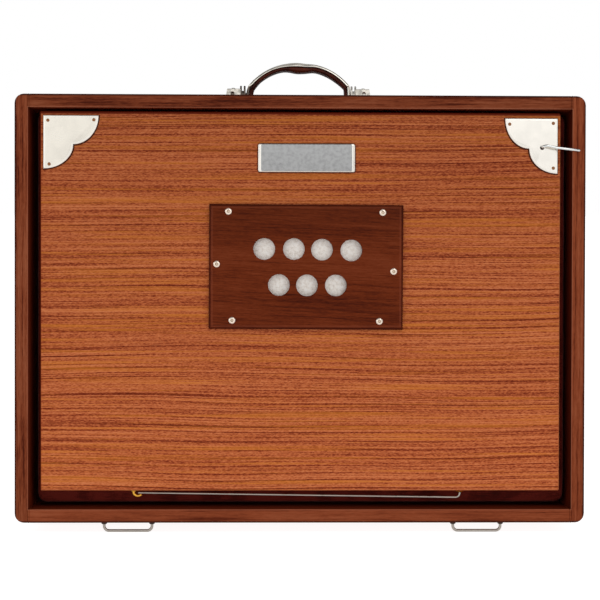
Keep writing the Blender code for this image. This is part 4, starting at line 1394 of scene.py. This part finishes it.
STRAP_CROWN = (-0.0009, 0.3355)
STRAP_RADIUS = 0.0475
STRAP_THICKNESS = 0.0018
HANDLE_X = -0.0015
EAR_INNER = 0.0380  # from the handle's middle to the strap's foot
BLOCK_TOP = CASE_TOP + 0.0088


def strap_line():
    """The strap's outer line from its left foot to its right one, with its outward direction there."""
    crown_x, crown_z = STRAP_CROWN
    points = []
    for i in range(-36, 37):
        a = math.radians(1.42 * i)
        x = crown_x + STRAP_RADIUS * math.sin(a)
        z = crown_z - STRAP_RADIUS * (1 - math.cos(a)) + 0.00105 * (1 - math.exp(-((x / 0.021) ** 2)))
        z -= 0.0005 * math.exp(-(((x - 0.0045) / 0.0045) ** 2))
        points.append((x, z))
    for side, end in ((-1, 0), (1, len(points))):
        foot = HANDLE_X + side * EAR_INNER
        x, z = points[0 if side < 0 else -1]
        turn = [(x + (foot - x) * share, z - 0.0030 * k) for share, k in ((0.62, 1), (0.92, 2), (1, 3))]
        turn.append((foot, CASE_TOP + 0.0030))
        if side < 0:
            points[:0] = reversed(turn)
        else:
            points += turn
    line = []
    for i, (x, z) in enumerate(points):
        (xa, za), (xb, zb) = points[max(i - 1, 0)], points[min(i + 1, len(points) - 1)]
        out = Vector((za - zb, 0, xb - xa)).normalized()
        line.append((Vector((x, MIDDLE, z)), out))
    return line


def strap_rings(line, outer, inner, half_widths, section):
    """Sections along the strap's line. A section is points of 0 to 1 deep and -1 to 1 wide."""
    narrow, wide = half_widths
    rings = []
    for point, out in line:
        half = narrow + (wide - narrow) * max(out.z, 0.0) ** 2
        start, end = outer(point.x), inner(point.x)
        rings.append(
            [point - out * (start + (end - start) * deep) + Vector((0, half * side, 0)) for deep, side in section]
        )
    return rings


def strap_depth(x, above=0.0):
    """How thick the strap is: thickest at its crown."""
    return above + STRAP_THICKNESS + 0.0009 * math.exp(-(((x + 0.0025) / 0.012) ** 2))


def band_section():
    """A half-round bar: flat below and rounded over above."""
    turns = (math.radians(90 - 11.25 * i) for i in range(9))
    half = [(0.94 * (1 - math.sin(a)), 0.7 + 0.3 * math.cos(a)) for a in turns] + [(1.0, 0.985)]
    return half + [(deep, -side) for deep, side in reversed(half)]


def pad_section():
    """A soft pad: flat where it lies against the strap and round below."""
    points = []
    for i in range(24):
        a = 2 * math.pi * i / 24
        y = math.copysign(abs(math.cos(a)) ** 0.6, math.cos(a))
        power = 0.35 if math.sin(a) > 0 else 0.9
        d = 0.5 - 0.5 * math.copysign(abs(math.sin(a)) ** power, math.sin(a))
        points.append((d, y))
    return points


def grip_depth(x):
    """How deep the grip reaches under the strap's outer line: deepest in a wave at its middle."""
    wave = 0.0024 * math.exp(-(((x + 0.0018) / 0.0080) ** 2))
    foot = min(max((abs(x - HANDLE_X) - 0.0300) / 0.0060, 0.0), 1.0)
    return 0.0047 + 0.00035 * math.tanh(x / 0.012) + wave + foot * (0.0008 if x < HANDLE_X else -0.0004)


class SHRUTI_OT_handle(bpy.types.Operator):
    """Makes the handle's strap, leather grip, stitching, rivets and brackets"""

    bl_idname = "shruti.handle"
    bl_label = "Handle"

    def execute(self, context):
        line = strap_line()
        rings = strap_rings(line, lambda x: 0.0, strap_depth, (0.0042, 0.0074), band_section())
        shell = skin(rings)
        for side in (-1, 1):
            inner = HANDLE_X + side * (EAR_INNER - STRAP_THICKNESS - 0.0002)
            reach = 0.0041 + STRAP_THICKNESS
            profile = [(0.0014, 0.0), (0.0014, reach - 0.0003), (0.0009, reach)]
            turned(shell, profile, (inner, MIDDLE, CASE_TOP + PIVOT_RISE), (side, 0, 0), 24)
        piece = place("handle_band", shell, handled_nickel(), "handle", ["handle_strap"], "nickel", 50)
        # Painted shade: the lower part of the strap's left foot gets the darker steel.
        piece.data.materials.append(shaded_steel())
        for face in piece.data.polygons:
            centre = face.center
            face.material_index = int(centre.x < HANDLE_X and centre.z < CASE_TOP + 0.0098)
        covered = line[1:-1]
        upper = functools.partial(strap_depth, above=0.0001)
        rings = strap_rings(covered, upper, grip_depth, (0.0036, 0.0068), pad_section())
        piece = place("handle_leather", skin(rings), hide(), "handle", ["handle_grip"], "grip_leather", 60)
        shell = bmesh.new()
        pitch = context.scene.shruti_sizes.stitch
        run = [point - out * (grip_depth(point.x) - 0.0006) for point, out in covered]
        lengths = [0.0]
        for before, after in zip(run, run[1:]):
            lengths.append(lengths[-1] + (after - before).length)
        for side in (-1, 1):
            for i in range(2, int(lengths[-1] / pitch) - 1):
                path = []
                for share, lift in ((0.15, 0.0004), (0.5, 0.0), (0.85, 0.0004)):
                    way = (i + share) * pitch
                    k = next(k for k, length in enumerate(lengths) if length > way)
                    part = (way - lengths[k - 1]) / (lengths[k] - lengths[k - 1])
                    point, out = run[k - 1].lerp(run[k], part), covered[k][1]
                    half = 0.0036 + 0.0032 * max(out.z, 0.0) ** 2
                    path.append(point + out * lift + Vector((0, side * half * 0.78, 0)))
                tube(shell, path, 0.00022, 8)
        place("handle_stitching", shell, waxed_thread(), "handle", slot="grip_leather")
        for side, name in ((-1, "left"), (1, "right")):
            point, out = line[9 if side < 0 else -10]
            dome = [(0.0013, 0.0), (0.0012, 0.0003), (0.0008, 0.0006), (0.0003, 0.0007)]
            rivet = turned(bmesh.new(), dome, point - out * 0.0001, out, 20)
            place(f"handle_rivet_{name}", rivet, drawn_steel(), "handle", slot="steel_wire")
            make_bracket(side, name)
        return {"FINISHED"}


def make_bracket(side, name):
    """A cast block with an open slot below, a sloping outer end and two ears for the handle's pin."""
    node = f"handle_bracket_{name}"
    near = HANDLE_X + side * (EAR_INNER + GAP)
    ear = near + side * 0.0040
    far = HANDLE_X + side * 0.0528
    base = CASE_TOP + GAP
    inner = ear - side * 0.0006
    notch = (far - side * 0.0040, far - side * 0.0064)
    outline = [
        (inner, base),
        (notch[1], base),
        (notch[1], base + 0.0052),
        (notch[1] + side * 0.0007, base + 0.0060),
        (notch[0] - side * 0.0007, base + 0.0060),
        (notch[0], base + 0.0052),
        (notch[0], base),
        (far, base),
        (far - side * 0.0013, BLOCK_TOP),
        (inner, BLOCK_TOP),
    ]
    shell = skin([[(x, MIDDLE + y, z) for x, z in outline] for y in (-0.0089, 0.0089)])
    cheeks = bmesh.new()
    crown = arc(MIDDLE, CASE_TOP + 0.0078, 0.0042, 0, 180, 20)
    shape = [(MIDDLE + 0.0042, base)] + crown + [(MIDDLE - 0.0042, base)]
    bore = list(reversed(circle(MIDDLE, CASE_TOP + PIVOT_RISE, 0.0017, 21)))
    for start in (near, ear - side * 0.0013):
        stages = [(shape, start), (shape, start + side * 0.0013)]
        rim = [(bore, start), (bore, start + side * 0.0013)]
        cheek = pierced(stages, [rim])
        for vert in cheek.verts:
            across, along, up = vert.co
            vert.co = (along, across, up)
        spare = bpy.data.meshes.new("cheek")
        cheek.to_mesh(spare)
        cheek.free()
        cheeks.from_mesh(spare)
        bpy.data.meshes.remove(spare)
    for x0, x1, half, top in ((near, ear, 0.0042, 0.0022), (*notch, 0.0086, 0.0054)):
        join_rings(cheeks, [[(x, MIDDLE + y, z) for y, z in square(-half, half, base, base + top)] for x in (x0, x1)])
    collar = [(radius, x) for radius, x in zip((0.0017, 0.0030, 0.0030, 0.0017), (near, near, ear, ear))]
    height = CASE_TOP + PIVOT_RISE
    join_rings(cheeks, [[(x, y, z) for y, z in circle(MIDDLE, height, r, 24)] for r, x in collar], True)
    piece = place(f"{node}_casting", shell, cast_nickel(), "case", [node], "nickel", 30)
    soften(piece, 0.0008, 40, 4)
    # Painted shade: the left bracket's cheeks get the darker steel, the right ones drawn steel.
    finish = shaded_steel() if side < 0 else drawn_steel()
    piece = place(f"{node}_cheeks", cheeks, finish, "case", slot="steel_wire", crease=30)
    soften(piece, 0.0003, 40)
    for end, y in (("front", -0.0058), ("back", 0.0058)):
        centre = ((inner + far) / 2 - side * 0.0002, MIDDLE + y, BLOCK_TOP)
        make_screw(f"{node}_{end}_screw", centre, (0, 0, 1), 0.0016, 0.5, "case")


class SHRUTI_OT_feet(bpy.types.Operator):
    """Makes the four wire feet and the bushes that their legs sit in"""

    bl_idname = "shruti.feet"
    bl_label = "Feet"

    def execute(self, context):
        sizes = context.scene.shruti_sizes
        radius = 0.0010
        for foot in FEET:
            node = f"foot_{foot}"
            low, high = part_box(node)
            y = (low.y + high.y) / 2
            ends = [high.x - radius, low.x + radius]
            if foot.startswith("back"):
                ends.reverse()
            turning, free = ends
            path = rounded_path(
                [
                    (turning, y, high.z - 0.0001),
                    (turning, y, radius + 0.00001),
                    (free, y, radius + 0.00001),
                    (free, y, CASE_BASE - GAP),
                ],
                sizes.foot_bend,
            )
            shell = tube(bmesh.new(), path, radius - 0.00001)
            body = f"{node}_body"
            place(f"{node}_wire", shell, plated_zinc(), body, [node], "steel_wire", 60)
            for x, rider, name in ((turning, "case", "turning"), (free, body, "free")):
                wide = sizes.bush
                profile = [(0.00115, 0.0), (0.0017, 0.0002), (wide, 0.0012), (wide, 0.0016)]
                centre = (x, y, CASE_BASE - 0.0018)
                shell = turned(bmesh.new(), profile, centre, (0, 0, 1), 24)
                place(f"{node}_{name}_bush", shell, rubber(), rider, slot="steel_wire")
        return {"FINISHED"}


class SHRUTI_OT_stage(bpy.types.Operator):
    """Sets up the pale floor, the soft light and the camera"""

    bl_idname = "shruti.stage"
    bl_label = "Stage"

    def execute(self, context):
        settings = context.scene.shruti_stage
        make_floor()
        make_sky(settings.sky)
        for name, place_at, size, power in (
            ("key_light", (0.9, -1.3, 1.5), 1.2, settings.key),
            ("fill_light", (-1.4, -0.9, 0.8), 1.2, settings.key * 0.4),
        ):
            data = bpy.data.lights.new(name, "AREA")
            data.size = size
            data.energy = power
            lamp = bpy.data.objects.new(name, data)
            lamp.location = place_at
            aim = Vector((0, 0, 0.16)) - Vector(place_at)
            lamp.rotation_euler = aim.to_track_quat("-Z", "Y").to_euler()
            context.scene.collection.objects.link(lamp)
        data = bpy.data.cameras.new("front_camera")
        data.lens = settings.lens
        camera = bpy.data.objects.new("front_camera", data)
        right, up, roll = settings.aim
        camera.location = settings.place
        camera.rotation_euler = (math.radians(90) + up, 0, -right)
        camera.rotation_euler.rotate_axis("Z", roll)
        context.scene.collection.objects.link(camera)
        context.scene.camera = camera
        context.scene.view_settings.view_transform = "Standard"
        return {"FINISHED"}


def make_floor():
    """A wide painted floor with a soft upturned rim."""
    rings = []
    for radius, z in ((0.05, -0.0001), (1.0, -0.0001), (3.0, -0.0001), (3.6, 0.06), (3.9, 0.4)):
        rings.append([(x, y, z) for x, y in circle(0, 0, radius, 96)])
    shell = bmesh.new()
    rows = [[shell.verts.new(point) for point in ring] for ring in rings]
    shell.faces.new(rows[0])
    for near, far in zip(rows, rows[1:]):
        for i in range(len(near)):
            shell.faces.new((near[i - 1], near[i], far[i], far[i - 1]))
    floor = place("floor", shell, painted_floor(), None, crease=180)
    floor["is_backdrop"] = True


def painted_floor():
    """White emulsion, rolled: matt, with an even glow of its own so that it looks pale in shade.

    The glow is weaker for the box than for the eye, so that it doesn't light the box from below.
    """
    made, tree = start_finish("emulsion_rolled_white")
    base = add(tree, "TexCoord", out=3)
    mottle = add(tree, "TexNoise", {"Vector": base, "Scale": 12.0, "Detail": 2.0})
    stops = [(0.3, linear("#A2A2A1")), (0.7, linear("#A8A8A7"))]
    glow = add(tree, "MapRange", {"Value": add(tree, "LightPath"), "To Min": 0.6, "To Max": 0.92})
    end_finish(
        tree,
        {
            "Base Color": add(tree, "ValToRGB", {"Fac": mottle}, stops),
            "Roughness": 0.9,
            "Specular IOR Level": 0.1,
            "Emission Color": grey(1),
            "Emission Strength": glow,
        },
    )
    return made


def make_sky(strength):
    """Even soft light. Metals reflect darker bands above and at the sides, and a little more on the right."""
    world = bpy.data.worlds.new("studio")
    world.use_nodes = True
    tree = world.node_tree
    tree.nodes.clear()
    way = add(tree, "TexCoord", out=0)
    aside, height = (add(tree, "SeparateXYZ", {"Vector": way}, out=axis) for axis in (X, Z))
    stops = [(0.0, 0.85), (0.45, 1.0), (0.54, 1.0), (0.6, 1.2), (0.7, 1.3), (0.76, 0.35), (0.94, 0.2), (1.0, 0.6)]
    half = within(tree, height, -1.0, 1.0)
    bands = add(tree, "ValToRGB", {"Fac": half}, [(at, grey(value)) for at, value in stops])
    stops = [(0.07, 1.0), (0.12, 0.3), (0.19, 0.3), (0.25, 1.25), (0.36, 1.15), (0.45, 0.94), (0.57, 1.03),
             (0.66, 1.15), (0.75, 1.25), (0.81, 0.3), (0.88, 0.3), (0.93, 1.0)]
    across = within(tree, aside, -1.0, 1.0)
    flags = add(tree, "ValToRGB", {"Fac": across}, [(at, grey(value)) for at, value in stops])
    light = add(tree, "Mix", {0: 1.0, 6: bands, 7: flags}, out=2, data_type="RGBA", blend_type="MULTIPLY")
    rays = [add(tree, "LightPath", out=kind) for kind in (0, 3)]
    light = blend_colour(tree, rays[1], grey(0.76), light)
    soft = add(tree, "Background", {"Color": light, "Strength": strength})
    white = add(tree, "Background", {"Color": grey(1), "Strength": 1.0})
    mixed = add(tree, "MixShader", {0: rays[0], 1: soft, 2: white})
    add(tree, "OutputWorld", {"Surface": mixed})
    bpy.context.scene.world = world


OPERATORS = (
    SHRUTI_OT_case,
    SHRUTI_OT_pump_board,
    SHRUTI_OT_inlet_valve,
    SHRUTI_OT_wires,
    SHRUTI_OT_bellows,
    SHRUTI_OT_springs,
    SHRUTI_OT_reed_chest,
    SHRUTI_OT_reservoir,
    SHRUTI_OT_handle,
    SHRUTI_OT_feet,
    SHRUTI_OT_stage,
)


class SHRUTI_PT_pieces(bpy.types.Panel):
    """Lists the pieces of the box, their sizes and their colours"""

    bl_idname = "SHRUTI_PT_pieces"
    bl_label = "Shruti Box"
    bl_space_type = "VIEW_3D"
    bl_region_type = "UI"
    bl_category = "Shruti Box"

    def draw(self, context):
        for operator in OPERATORS:
            self.layout.operator(operator.bl_idname)
        for group in ("shruti_sizes", "shruti_stage", "shruti_colours"):
            settings = getattr(context.scene, group)
            for name in settings.__annotations__:
                self.layout.prop(settings, name)


GROUPS = {
    "shruti_colours": ShrutiColours,
    "shruti_sizes": ShrutiSizes,
    "shruti_stage": ShrutiStage,
}
CLASSES = (*GROUPS.values(), *OPERATORS, SHRUTI_PT_pieces)


def register():
    for cls in CLASSES:
        bpy.utils.register_class(cls)
    for name, group in GROUPS.items():
        setattr(bpy.types.Scene, name, bpy.props.PointerProperty(type=group))


def unregister():
    for name in GROUPS:
        delattr(bpy.types.Scene, name)
    for cls in reversed(CLASSES):
        bpy.utils.unregister_class(cls)


def main():
    register()
    for operator in OPERATORS:
        getattr(bpy.ops.shruti, operator.bl_idname.split(".")[1])()
    sizes = {"cad": CAD_CORNERS, "visual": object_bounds()}
    {key: [list(corner) for corner in box] for key, box in sizes.items()}


if __name__ == "__main__":
    main()
